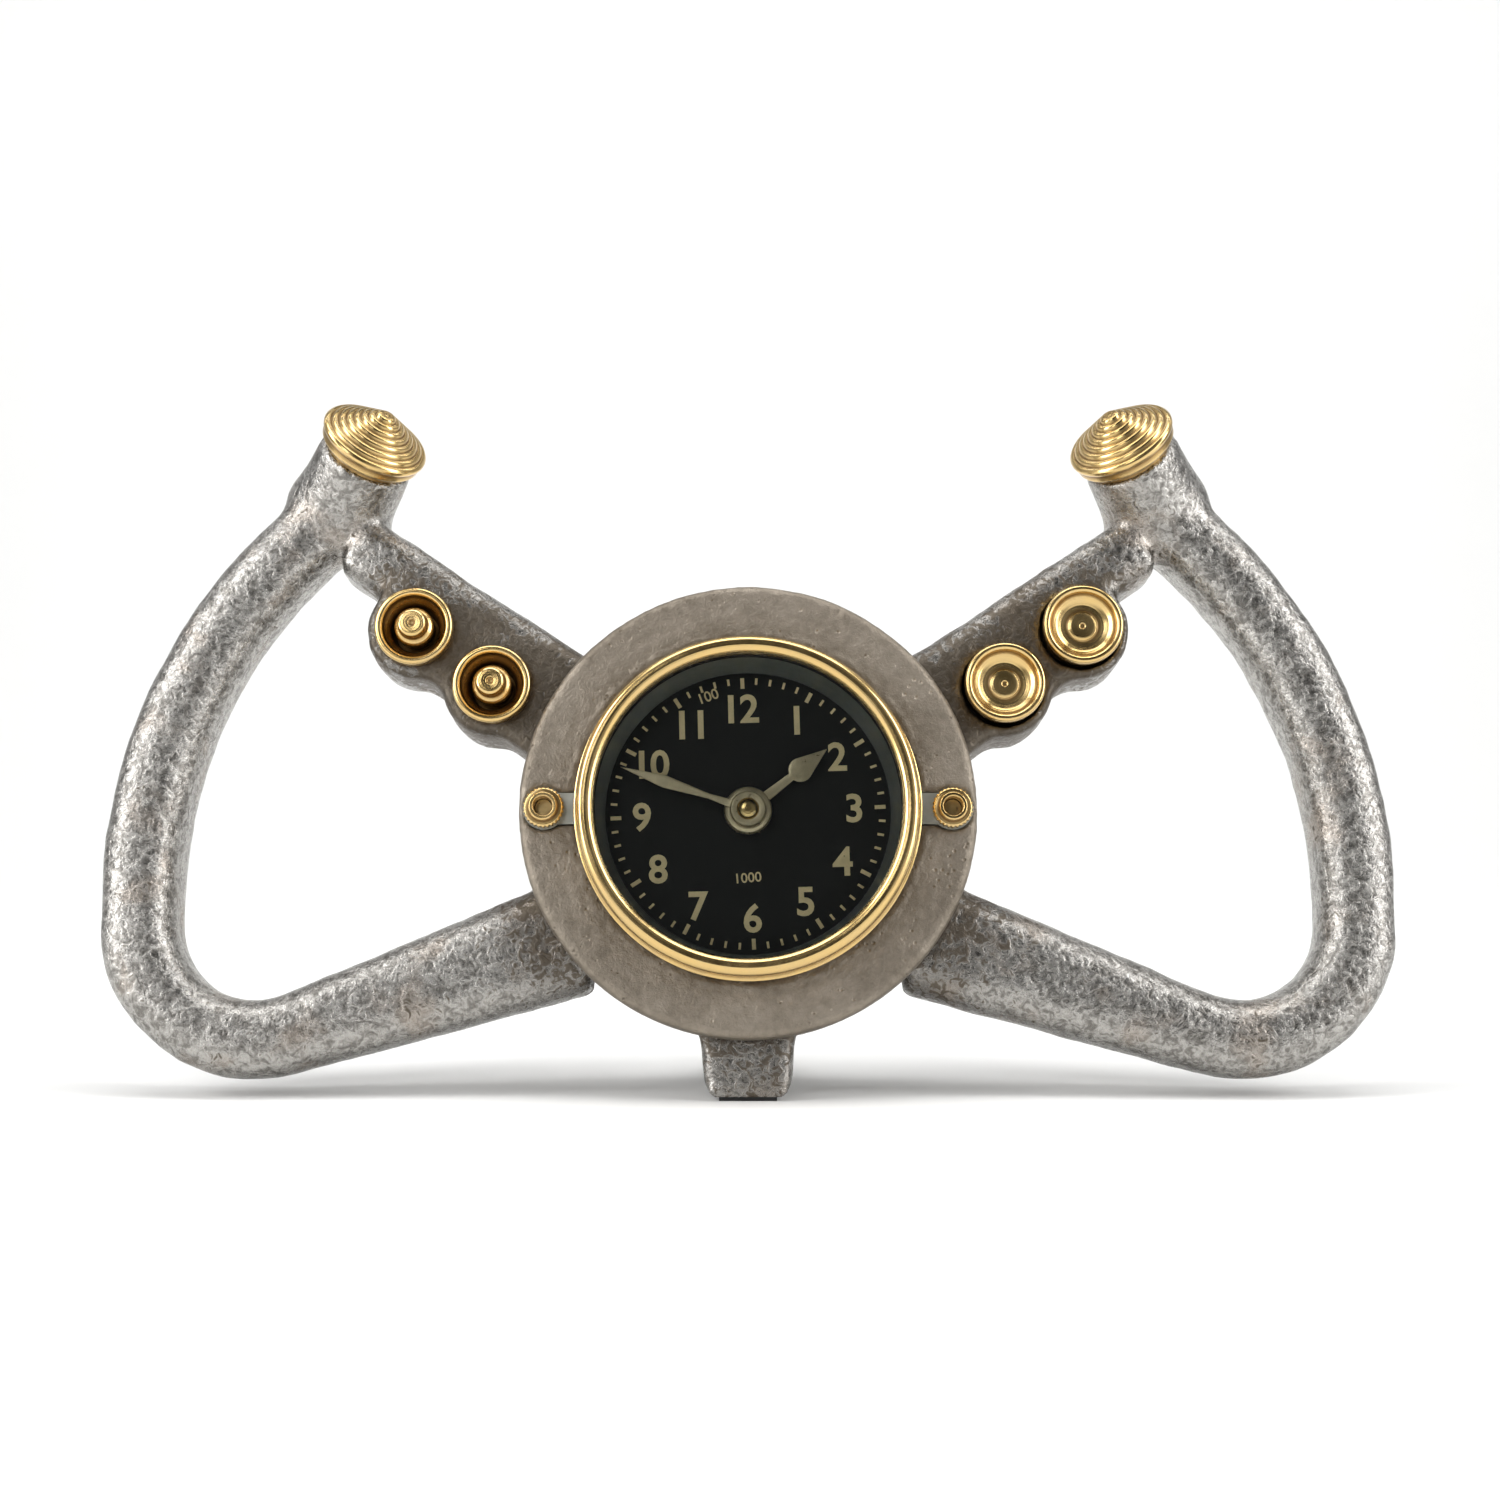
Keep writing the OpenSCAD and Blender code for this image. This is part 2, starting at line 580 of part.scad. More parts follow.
module coil() color("peru") leaned() translate([0, clutch_layer + 3, stator_z]) rotate([0, 90, 0]) {
    translate([0, 0, 6.5]) cylinder(r = 2.6, h = rotor_at[0] - 7);
    for (x = [5.6, rotor_at[0] - 0.5]) translate([0, 0, x]) cylinder(r = 2.9, h = 0.9);
    translate([0, 0, 2.4]) cylinder(r = 0.9, h = rotor_at[0] + 2);
}
board_x = -move_side / 2 + case_wall + gap;
module circuit_board() color("green") leaned() slab(third_layer, 1) translate([board_x, -6]) square([6.4, 30]);
module timing_crystal() color("silver") leaned()
    translate([board_x + 3, third_layer - 1.1, 2]) cylinder(r = 1, h = 6);
module battery() color("firebrick") leaned() translate([0, case_back_y - cell_d / 2 - 0.2, cell_z])
    rotate([0, 90, 0]) {
        translate([0, 0, -cell_len / 2]) cylinder(d = cell_d, h = cell_len - 1);
        translate([0, 0, cell_len / 2 - 1]) cylinder(d = 5.5, h = 1);
    }
module battery_contacts() color("silver") leaned() for (s = [-1, 1])
    translate([s * (move_side / 2 - case_wall - 0.35) - 0.25, case_back_y - 12, cell_z - 4]) cube([0.5, 9, 8]);

// ---------- buttons ----------
module left(at) translate([-at[0], 0, at[1]]) children();
module right(at) translate([at[0], 0, at[1]]) children();
module button_cup() turned([
    [stem_d / 2 + run_clear, cup_floor_y], [5.3, cup_floor_y], [5.7, rim_y + 3.6], [6.3, rim_y + 3],
    [7.4, rim_y + 1], [7.9, rim_y + 0.3], [8.6, rim_y], [cup_d / 2 - 0.3, rim_y + 0.5],
    [cup_d / 2, rim_y + 1.3], [cup_d / 2, face_y], [cup_body_r, face_y], [cup_body_r, cup_back_y],
    [stem_d / 2 + run_clear, cup_back_y]]);
module button_cups() color("gold") leaned() {
    left(button_out) button_cup();
    left(button_in) button_cup();
}
module plunger() {
    top_y = rim_y - 3;
    skirt_y = cup_floor_y - travel - 0.8;
    turned([[0, top_y + 0.4], [0.8, top_y + 0.4], [1, top_y], [2.9, top_y], [3.35, top_y + 0.5],
        [3.35, top_y + 3], [4.7, top_y + 4.4], [4.7, skirt_y], [stem_d / 2, skirt_y],
        [stem_d / 2, cup_back_y + clip_gap], [stem_d / 2 - 0.6, cup_back_y + clip_gap],
        [stem_d / 2 - 0.6, cup_back_y + clip_gap + clip_t], [stem_d / 2, cup_back_y + clip_gap + clip_t],
        [stem_d / 2, cup_back_y + clip_gap + clip_t + 1], [0, cup_back_y + clip_gap + clip_t + 1]]);
}
module plunger_outer() color("gold") leaned() left(button_out) plunger();
module plunger_inner() color("gold") leaned() left(button_in) plunger();
module clip(y) difference() {
    rod(clip_r, y + clip_gap, y + clip_gap + clip_t);
    rod(stem_d / 2 - 0.6 + 0.02, y - 1, y + 3);
    translate([-stem_d / 2 + 0.8, y - 1, 0]) cube([stem_d - 1.6, 4, clip_r + 1]);
}
module plunger_clip_outer() color("gray") leaned() left(button_out) clip(cup_back_y);
module plunger_clip_inner() color("gray") leaned() left(button_in) clip(cup_back_y);
module dish() turned([
    [0, dish_y + 2.7], [0.6, dish_y + 2.7], [0.7, dish_y + 2.4], [2.9, dish_y + 2.4], [3.7, dish_y + 2.7],
    [3.9, dish_y + 3], [5.6, dish_y + 2.9], [7.2, dish_y + 1.9], [7.9, dish_y + 0.5], [8.6, dish_y],
    [dish_d / 2 - 0.4, dish_y + 0.5], [dish_d / 2, dish_y + 1.6], [dish_d / 2, dish_back_y],
    [dish_d / 2 - 1, dish_back_y], [dish_d / 2 - 1.2, dish_y + 4], [stem_d / 2, dish_y + 4.4],
    [stem_d / 2, bush_back_y + clip_gap], [stem_d / 2 - 0.6, bush_back_y + clip_gap],
    [stem_d / 2 - 0.6, bush_back_y + clip_gap + clip_t], [stem_d / 2, bush_back_y + clip_gap + clip_t],
    [stem_d / 2, bush_back_y + clip_gap + clip_t + 1], [0, bush_back_y + clip_gap + clip_t + 1]]);
module dish_outer() color("gold") leaned() right(button_out) dish();
module dish_inner() color("gold") leaned() right(button_in) dish();
module dish_bushes() color("goldenrod") leaned() for (at = [button_out, button_in])
    tube(chamber_r, stem_d / 2 + run_clear, pocket_y, bush_back_y, at);
module dish_clip_outer() color("gray") leaned() right(button_out) clip(bush_back_y);
module dish_clip_inner() color("gray") leaned() right(button_in) clip(bush_back_y);
spring_r = stem_d / 2 + 0.9;
wire_r = 0.3;
module cup_spring(at) coil_spring(spring_r, wire_r, 3, cup_floor_y - travel - 0.78, cup_floor_y - 0.02,
    [-at[0], at[1]]);
module dish_spring(at) coil_spring(spring_r, wire_r, 5, dish_y + 4.5, pocket_y - 0.02, at);
module plunger_spring_outer() color("silver") leaned() cup_spring(button_out);
module plunger_spring_inner() color("silver") leaned() cup_spring(button_in);
module dish_spring_outer() color("silver") leaned() dish_spring(button_out);
module dish_spring_inner() color("silver") leaned() dish_spring(button_in);

// ---------- horn knobs ----------
module on_horn() translate([horn_x, bar_y, horn_z]) along(horn_dir) translate([0, 0, horn_len]) children();
module knob() {
    rim = knob_d / 2;
    skirt = 5;
    step_r = (rim - 0.6) / (knob_steps + 0.3);
    difference() {
        rotate_extrude() polygon(concat(
            [[0, 0], [rim - 2.6, 0], [rim - 2.4, 1], [rim - 1.2, 1.6], [rim - 0.7, skirt - 1],
                [rim, skirt - 0.4], [rim, skirt + 0.2]],
            [for (k = [0:knob_steps - 1]) each [
                [rim - 0.3 - k * step_r, skirt + 0.6 + k * knob_cone / knob_steps],
                [rim - 0.6 - (k + 0.75) * step_r, skirt + 0.6 + (k + 0.35) * knob_cone / knob_steps]]],
            [[0, skirt + knob_cone]]));
        translate([0, 0, -1]) cylinder(r = 2.5, h = skirt);
    }
}
module left_knob() color("gold") leaned() mirror([1, 0, 0]) on_horn() knob();
module right_knob() color("gold") leaned() on_horn() knob();
module knob_studs() color("silver") leaned() both_sides() on_horn()
    translate([0, 0, -9.5]) cylinder(r = 2.5, h = 13.2);

// ---------- rear ----------
module rear_cover() color("silver") leaned() difference() {
    rod(barrel_d / 2 - 1, barrel_end, barrel_end + cover_t);
    rod(12, barrel_end - 1, barrel_end + cover_t + 1, setting_at);
    screw_holes(screw_r + fit, barrel_end - 1, barrel_end + cover_t + 1);
    both_sides() rod(screw_r + fit, barrel_end - 1, barrel_end + cover_t + 1, [head_x, head_z]);
}
module pan_screw(y_tip, y_seat, at) difference() {
    union() {
        rod(screw_r, y_tip, y_seat, at);
        rod(head_r, y_seat, y_seat + 2, at);
    }
    translate([at[0], y_seat + 0.8, at[1]]) {
        translate([-2.4, 0, -0.4]) cube([4.8, 2, 0.8]);
        translate([-0.4, 0, -2.4]) cube([0.8, 2, 4.8]);
    }
}
module hub_screws() color("silver") leaned() for (a = [45:90:315])
    pan_screw(ring_t - 3.6, barrel_end + cover_t, clockwise(a, rim_r));
module stand_leg() color("silver") {
    top_a = table_point(head_y, head_z + head_h / 2);
    top_b = table_point(head_y + head_t, head_z + head_h / 2);
    low_a = table_point(head_y, head_z - head_h / 2);
    foot_top = pad_t + foot_t;
    leg_x = foot_len / 2 - leg_w / 2 - 0.5;
    difference() {
        rotate([90, 0, 90]) translate([0, 0, -leg_w / 2 + 0.5]) linear_extrude(leg_w - 1) polygon([
            low_a, top_a, top_b, [stand_reach + leg_x, foot_top - 0.5], [stand_reach + leg_x, pad_t + 1],
            [stand_reach - leg_x, pad_t + 1], [stand_reach - leg_x, foot_top - 1]]);
        leaned() both_sides() {
            rod(screw_r + fit, head_y - 1, head_y + 30, [head_x, head_z]);
            rod(head_r + 0.6, head_y + head_t, head_y + 60, [head_x, head_z]);
        }
    }
    leaned() difference() {
        slab(head_y, head_t) intersection() {
            hull() for (s = [-1, 1], t = [-1, 1])
                translate([s * (head_x + 2), head_z + t * (head_h / 2 - 4)]) circle(4, $fn = 32);
            circle(barrel_d / 2 - 2);
        }
        both_sides() rod(screw_r + fit, head_y - 1, head_y + 30, [head_x, head_z]);
    }
    translate([0, stand_reach, pad_t]) {
        translate([-leg_w / 2, -foot_len / 2, 0]) cube([leg_w, foot_len - leg_w / 2, foot_t]);
        translate([0, foot_len / 2 - leg_w / 2, 0]) cylinder(d = leg_w, h = foot_t);
    }
}
module stand_screws() color("silver") leaned() both_sides()
    pan_screw(barrel_end - 12, head_y + head_t, [head_x, head_z]);
module rubber_pads() color("black") {
    translate([-leg_w / 2 + 1, stand_reach - foot_len / 2 + 1, 0]) cube([leg_w - 2, foot_len - leg_w / 2, pad_t]);
    translate([-tab_w / 2 + 3, -pad_len / 2, 0]) cube([tab_w - 6, pad_len, pad_t]);
}

yoke_casting();
hub_ring();
bezel();
crystal();
crystal_gasket();
reflector_ring();
dial_plate();
dial_print();
dial_pan();
hour_hand();
minute_hand();
hand_cap();
movement_case();
movement_back();
middle_plate();
threaded_bush();
bush_nut();
dial_washer();
minute_arbor();
hour_wheel();
motion_wheel();
setting_arbor();
setting_knob();
centre_wheel();
third_wheel();
second_wheel();
rotor();
stator();
coil();
circuit_board();
timing_crystal();
battery();
battery_contacts();
clamp_studs();
clamp_nuts();
button_cups();
dish_bushes();
plunger_outer();
plunger_inner();
dish_outer();
dish_inner();
plunger_spring_outer();
plunger_spring_inner();
dish_spring_outer();
dish_spring_inner();
plunger_clip_outer();
plunger_clip_inner();
dish_clip_outer();
dish_clip_inner();
left_knob();
right_knob();
knob_studs();
rear_cover();
hub_screws();
stand_leg();
stand_screws();
rubber_pads();
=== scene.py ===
import json
import math

import bmesh
import bpy
from bpy.props import FloatProperty, FloatVectorProperty, IntProperty, PointerProperty
from mathutils import Matrix, Vector, noise


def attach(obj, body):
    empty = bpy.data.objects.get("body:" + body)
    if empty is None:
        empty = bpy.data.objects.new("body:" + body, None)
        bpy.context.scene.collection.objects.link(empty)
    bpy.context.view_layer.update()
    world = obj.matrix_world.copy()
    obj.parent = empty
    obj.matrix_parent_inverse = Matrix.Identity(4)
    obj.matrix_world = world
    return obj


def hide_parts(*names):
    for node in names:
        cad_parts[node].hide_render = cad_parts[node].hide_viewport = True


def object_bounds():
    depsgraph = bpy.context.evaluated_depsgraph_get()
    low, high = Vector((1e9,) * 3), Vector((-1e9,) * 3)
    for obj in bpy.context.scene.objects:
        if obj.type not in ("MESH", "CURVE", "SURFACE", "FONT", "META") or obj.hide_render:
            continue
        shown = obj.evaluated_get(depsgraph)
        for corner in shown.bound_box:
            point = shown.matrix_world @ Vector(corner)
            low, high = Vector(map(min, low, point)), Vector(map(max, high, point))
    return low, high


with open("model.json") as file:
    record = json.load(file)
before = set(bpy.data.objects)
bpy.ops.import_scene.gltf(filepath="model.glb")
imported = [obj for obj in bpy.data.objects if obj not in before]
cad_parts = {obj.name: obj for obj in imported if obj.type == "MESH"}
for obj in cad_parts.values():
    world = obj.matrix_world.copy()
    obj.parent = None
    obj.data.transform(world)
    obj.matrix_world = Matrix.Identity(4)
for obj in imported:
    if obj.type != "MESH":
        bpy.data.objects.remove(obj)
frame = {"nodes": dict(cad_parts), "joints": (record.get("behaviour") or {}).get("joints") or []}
CAD_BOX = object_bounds()

bl_info = {
    "name": "Yoke Desk Clock",
    "version": (1, 0, 0),
    "blender": (4, 5, 0),
    "location": "View3D > Sidebar > Yoke Clock",
    "description": "Builds the looks of a desk clock cast in the shape of a control yoke",
    "category": "Add Mesh",
}

MM = 0.001
ROOT = "clock"
JOINTS = {j["name"]: j for j in frame["joints"]}

# The yoke's own frame: X right, Y deeper behind the dial, Z up the dial, zero at the hub's front face.
HAND_DEPTH = 10 * MM  # how far behind that face the record puts the hands' joint
DEEPER = Vector(JOINTS["minute_turn"]["axis"]).normalized()
UPWARD = Vector((1, 0, 0)).cross(DEEPER)
HUB = Vector(JOINTS["minute_turn"]["pos_m"]) - HAND_DEPTH * DEEPER
YOKE = Matrix.Translation(HUB) @ Matrix((Vector((1, 0, 0)), DEEPER, UPWARD)).transposed().to_4x4()
TO_YOKE = YOKE.inverted()


# Places of the buttons' axes in the yoke's frame
BUTTON_PITCH = 23.7 * MM
BUTTON_SLOPE = math.radians(36.8)
INNER_BUTTON = Vector((61.5 * MM, 0, 31 * MM))
OUTER_BUTTON = INNER_BUTTON + BUTTON_PITCH * Vector((math.cos(BUTTON_SLOPE), 0, math.sin(BUTTON_SLOPE)))
TO_LEFT = Vector((-1, 1, 1))
BUTTONS = {"outer_plunger": OUTER_BUTTON * TO_LEFT, "inner_plunger": INNER_BUTTON * TO_LEFT,
           "outer_dish": OUTER_BUTTON, "inner_dish": INNER_BUTTON}


def button_place(name):
    """Matrix from a button's own frame, axis along Y, to the clock's frame."""
    return YOKE @ Matrix.Translation(BUTTONS[name])


# ---------- sizes and colours ----------
class CastingSizes(bpy.types.PropertyGroup):
    grid: FloatProperty(name="Skin grid", default=1.1 * MM, min=0.0008, max=0.004, precision=4,
                        unit="LENGTH", description="Spacing of the mesh that forms the cast skin")
    ring_grid: FloatProperty(name="Ring grid", default=0.65 * MM, min=0.0004, max=0.003, precision=4,
                             unit="LENGTH", description="Spacing of the mesh on the front ring")
    fillet_steps: IntProperty(name="Fillet steps", default=26, min=0, max=80,
                              description="Smoothing steps that round the junctions of the casting")
    wave: FloatProperty(name="Waviness", default=0.34 * MM, min=0, max=0.002, precision=5,
                        unit="LENGTH", description="Height of the slow waves in the cast skin")
    lump: FloatProperty(name="Lumps", default=0.13 * MM, min=0, max=0.001, precision=5,
                        unit="LENGTH", description="Height of the small lumps in the cast skin")
    lip: FloatProperty(name="Casting lip", default=0.5 * MM, min=0, max=0.002, precision=5,
                       unit="LENGTH", description="Height of the rough lip round the bezel's foot")
    metal: FloatVectorProperty(name="Cast metal", subtype="COLOR", size=3, min=0, max=1,
                               default=(0.46, 0.445, 0.42), description="Colour of the bright cast aluminium")
    # Painted shade with patina: the colour of the darkening round the button bosses and against the hub.
    patina: FloatVectorProperty(name="Patina", subtype="COLOR", size=3, min=0, max=1,
                                default=(0.085, 0.066, 0.045),
                                 description="Colour of the dark stain in the hollows")
    ring_metal: FloatVectorProperty(name="Ring metal", subtype="COLOR", size=3, min=0, max=1,
                                    default=(0.31, 0.27, 0.22), description="Colour of the duller front ring")


class BrassSizes(bpy.types.PropertyGroup):
    turns: IntProperty(name="Segments", default=144, min=32, max=256,
                       description="Segments round each turned piece")
    edge: FloatProperty(name="Edge rounding", default=0.25 * MM, min=0, max=0.001, precision=5,
                        unit="LENGTH", description="Rounding of the turned corners")
    steps: IntProperty(name="Knob steps", default=8, min=4, max=12,
                       description="Rings turned on the cone of each horn knob")
    knurls: IntProperty(name="Knurls", default=28, min=12, max=48,
                        description="Knurls round each clamp nut")
    metal: FloatVectorProperty(name="Brass", subtype="COLOR", size=3, min=0, max=1,
                               default=(0.74, 0.52, 0.21), description="Colour of the lacquered brass")
    # Painted shade: the darker brown laid in the brass's grooves and inner corners.
    tarnish: FloatVectorProperty(name="Tarnish", subtype="COLOR", size=3, min=0, max=1,
                                 default=(0.24, 0.14, 0.05), description="Colour of the brass in its grooves")


class DialSizes(bpy.types.PropertyGroup):
    numeral: FloatProperty(name="Numeral height", default=7.0 * MM, min=0.003, max=0.01, precision=4,
                           unit="LENGTH", description="Height of the numerals")
    radius: FloatProperty(name="Numeral radius", default=25.3 * MM, min=0.015, max=0.03, precision=4,
                          unit="LENGTH", description="Distance of the numerals from the dial's centre")
    turn: FloatProperty(name="Dial turn", default=math.radians(2.5), min=-0.2, max=0.2,
                        subtype="ANGLE", description="How far the dial sits turned anticlockwise in the ring")
    print_colour: FloatVectorProperty(name="Print", subtype="COLOR", size=3, min=0, max=1,
                                      default=(0.95, 0.76, 0.42),
                                      description="Colour of the numerals and ticks")
    face_colour: FloatVectorProperty(name="Dial face", subtype="COLOR", size=3, min=0, max=1,
                                     default=(0.007, 0.0066, 0.006), description="Colour of the dial")
    hand_colour: FloatVectorProperty(name="Hands", subtype="COLOR", size=3, min=0, max=1,
                                     default=(0.80, 0.66, 0.42), description="Colour of the hands")


class StageSizes(bpy.types.PropertyGroup):
    distance: FloatProperty(name="Camera distance", default=0.55, min=0.3, max=2, unit="LENGTH",
                            description="Distance of the camera in front of the dial's centre")
    lens: FloatProperty(name="Lens", default=56.0, min=20, max=200, subtype="DISTANCE_CAMERA",
                        description="Focal length of the camera")
    rise: FloatProperty(name="Camera rise", default=math.radians(0.5), min=-0.5, max=0.5, subtype="ANGLE",
                        description="Angle of the camera above the level of the dial's centre")
    floor: FloatVectorProperty(name="Floor", subtype="COLOR", size=3, min=0, max=1,
                               default=(0.9, 0.9, 0.89), description="Colour of the floor")
    key: FloatProperty(name="Key light", default=9.0, min=0, max=200, unit="POWER",
                       description="Power of the large side lights")


def sizes(name):
    """The scene's property group of that name."""
    return getattr(bpy.context.scene, "yoke_clock_" + name)


# ---------- materials ----------
class Value:
    """A number that varies over a surface. Arithmetic on it adds Math nodes."""

    def __init__(self, finish, socket):
        self.finish = finish
        self.socket = socket

    def _math(self, operation, *terms):
        return self.finish.node("ShaderNodeMath", {"operation": operation}, dict(enumerate(terms)))

    def __add__(self, other):
        return self._math("ADD", self, other)

    def __radd__(self, other):
        return self._math("ADD", other, self)

    def __sub__(self, other):
        return self._math("SUBTRACT", self, other)

    def __rsub__(self, other):
        return self._math("SUBTRACT", other, self)

    def __mul__(self, other):
        return self._math("MULTIPLY", self, other)

    def __rmul__(self, other):
        return self._math("MULTIPLY", other, self)

    def __truediv__(self, other):
        return self._math("DIVIDE", self, other)

    def __rtruediv__(self, other):
        return self._math("DIVIDE", other, self)

    def __pow__(self, other):
        return self._math("POWER", self, other)

    def __gt__(self, other):
        return self._math("GREATER_THAN", self, other)

    def sine(self):
        return self._math("SINE", self)

    def clamped(self):
        return self.finish.node("ShaderNodeClamp", {}, {0: self})

    def between(self, low, high, to_low=0.0, to_high=1.0):
        """This value, carried smoothly from low..high to to_low..to_high."""
        return self.finish.node("ShaderNodeMapRange", {"interpolation_type": "SMOOTHSTEP"},
                                {0: self, 1: low, 2: high, 3: to_low, 4: to_high})


class Finish:
    """A material built on one Principled shader."""

    def __init__(self, name, **constants):
        self.material = bpy.data.materials.new(name)
        self.material.use_nodes = True
        self.tree = self.material.node_tree
        self.shader = self.tree.nodes["Principled BSDF"]
        self.output = self.tree.nodes["Material Output"]
        for label, value in constants.items():
            self.set(label.replace("_", " "), value)

    def node(self, kind, settings=None, inputs=None, output=0):
        """Adds a node: its settings first, then a value or a link for each named or numbered socket."""
        node = self.tree.nodes.new(kind)
        for key, value in (settings or {}).items():
            if key == "stops":
                self._stops(node.color_ramp, value)
            else:
                setattr(node, key, value)
        for key, value in (inputs or {}).items():
            self._feed(node.inputs[key], value)
        return Value(self, node.outputs[output])

    def _stops(self, ramp, stops):
        while len(ramp.elements) < len(stops):
            ramp.elements.new(1.0)
        for element, (place, colour) in zip(ramp.elements, stops):
            element.position = place
            element.color = (*colour, 1.0)

    def _feed(self, socket, value):
        if isinstance(value, Value):
            self.tree.links.new(value.socket, socket)
        elif socket.type == "RGBA" and len(value) == 3:
            socket.default_value = (*value, 1.0)
        else:
            socket.default_value = value

    def set(self, label, value):
        """A constant or a link on the shader's own socket."""
        self._feed(self.shader.inputs[label], value)

    def place(self):
        return self.node("ShaderNodeTexCoord", output="Object")

    def attribute(self, name):
        return self.node("ShaderNodeAttribute", {"attribute_name": name}, output="Fac")

    def noise(self, scale, detail=3.0, roughness=0.55, place=None, distortion=0.0, stretch=None):
        place = place or self.place()
        if stretch:
            place = self.node("ShaderNodeMapping", {}, {"Vector": place, "Scale": stretch})
        return self.node("ShaderNodeTexNoise", {}, {
            "Vector": place, "Scale": scale, "Detail": detail, "Roughness": roughness,
            "Distortion": distortion})

    def cells(self, scale, place=None, randomness=1.0):
        return self.node("ShaderNodeTexVoronoi", {}, {
            "Vector": place or self.place(), "Scale": scale, "Randomness": randomness})

    def mix(self, factor, first, second):
        """A colour between two colours."""
        return self.node("ShaderNodeMix", {"data_type": "RGBA"}, {0: factor, 6: first, 7: second}, output=2)

    def distance(self, point):
        """Distance from a point in the clock's frame, in metres."""
        return self.node("ShaderNodeVectorMath", {"operation": "DISTANCE"},
                         {0: self.place(), 1: tuple(point)}, output="Value")

    def bump(self, height, depth, normal=None, strength=1.0):
        """A normal from a height of 0 to 1 that stands depth metres high."""
        feed = {"Height": height, "Distance": depth, "Strength": strength}
        if normal is not None:
            feed["Normal"] = normal
        return self.node("ShaderNodeBump", {}, feed)


def finish_of(name):
    """The finish's material, which FINISHES makes when it is first asked for."""
    key = name.replace("_", " ").capitalize()
    if key not in bpy.data.materials:
        made = FINISHES[name](key)
        made.material.name = key
    return bpy.data.materials[key]


def worn(key, light, dark, roughness, scale, depth, stretch=None, **constants):
    """A finish that wanders between two colours, with its own grain and roughness."""
    f = Finish(key, **constants)
    slow = f.noise(scale * 0.2, 3)
    grain = f.noise(scale, 3, stretch=stretch)
    f.set("Base Color", f.mix((slow * 0.6 + grain * 0.4).between(0.3, 0.7), dark, light))
    f.set("Roughness", grain.between(0.2, 0.8, *roughness))
    f.set("Normal", f.bump(grain, depth))
    return f


def cast_aluminium(key):
    """Bright tumbled sand casting, darkened round the bosses and against the hub by painted shade with
    patina.
    """
    s = sizes("casting")
    f = Finish(key, Metallic=1.0)
    broad = f.noise(70, 3)
    coarse = f.noise(480, 4, 0.6, distortion=0.9)
    fine = f.noise(1500, 4, 0.6)
    # Painted shade with patina: darker on the spokes just outside the hub's ring and round each button boss,
    # broken up by the noise.
    shade_and_stain = f.distance(HUB + 14 * MM * DEEPER).between(0.054, 0.082, 0.5, 0.0)
    for name in BUTTONS:
        at = button_place(name) @ Vector((0, 8 * MM, 0))
        shade_and_stain = shade_and_stain + f.distance(at).between(0.011, 0.026, 0.55, 0.0)
    shade_and_stain = (shade_and_stain + (broad - 0.5) * 0.9 + (coarse - 0.5) * 2.6 - 0.14).between(0.12, 0.5)
    shade = f.mix(coarse.between(0.35, 0.62), (0.19, 0.18, 0.165), s.metal)
    shade = f.mix(broad.between(0.52, 0.72, 0.0, 0.4), shade, (0.40, 0.33, 0.27))
    f.set("Base Color", f.mix(shade_and_stain * 0.88, shade, s.patina))
    f.set("Roughness", fine.between(0.3, 0.7, 0.2, 0.34) + shade_and_stain * 0.2)
    f.set("Normal", f.bump(coarse * 0.75 + fine * 0.2, 0.6 * MM))
    return f


def ring_aluminium(key):
    """The ring's skin: duller, browner and finer than the rest of the casting, with painted shade next to the
    bezel.
    """
    s = sizes("casting")
    f = Finish(key, Metallic=0.92)
    broad = f.noise(60, 4)
    coarse = f.noise(420, 4, 0.6)
    fine = f.noise(1500, 5, 0.65)
    pits = f.cells(520).between(0.0, 0.32, 1.0, 0.0) * (f.noise(150) > 0.55)
    # Painted shade: the ring darkens within about 41.5 to 46.5 mm of the dial's centre, next to the bezel's
    # foot.
    hub = f.distance(HUB).between(0.0415, 0.0465, 1.0, 0.0)
    dark = ((broad - 0.5) * 1.5 + (coarse - 0.5) * 1.3 + hub * 0.5 + pits * 0.5 + 0.32).clamped()
    f.set("Base Color", f.mix(dark, s.ring_metal, (0.15, 0.125, 0.095)))
    f.set("Roughness", (fine * 0.28 + 0.30 + dark * 0.1).clamped())
    f.set("Normal", f.bump(coarse * 0.55 + fine * 0.35 - pits * 0.5, 0.6 * MM))
    return f


def machined_aluminium(key):
    return worn(key, (0.6, 0.59, 0.57), (0.46, 0.45, 0.43), (0.34, 0.5), 900, 0.05 * MM, Metallic=1.0)


def turned_brass(key):
    """Polished brass with faint turning rings under clear lacquer, with painted shade, brown, in its grooves.
    """
    s = sizes("brass")
    f = Finish(key, Metallic=1.0, Coat_Roughness=0.06, Coat_IOR=1.45)
    along = f.attribute("along")
    groove = f.attribute("groove")
    smear = f.noise(130, 4)
    specks = f.noise(900, 3)
    rings = (along * 9.0).sine() * 0.5 + (along * 23.0).sine() * 0.3
    tint = f.mix(smear.between(0.35, 0.7), s.metal, (0.70, 0.50, 0.22))
    tint = f.mix(specks.between(0.62, 0.8, 0.0, 0.35), tint, (0.46, 0.31, 0.13))
    # Painted shade: browner towards the grooves and inner corners that each profile lists.
    f.set("Base Color", f.mix((groove * (smear * 0.8 + 0.7)).clamped(), tint, s.tarnish))
    f.set("Roughness", smear.between(0.3, 0.7, 0.15, 0.26) + groove * 0.2)
    f.set("Coat Weight", smear.between(0.3, 0.7, 0.2, 0.45))
    f.set("Normal", f.bump(rings * 0.5 + specks * 0.5, 0.014 * MM))
    return f


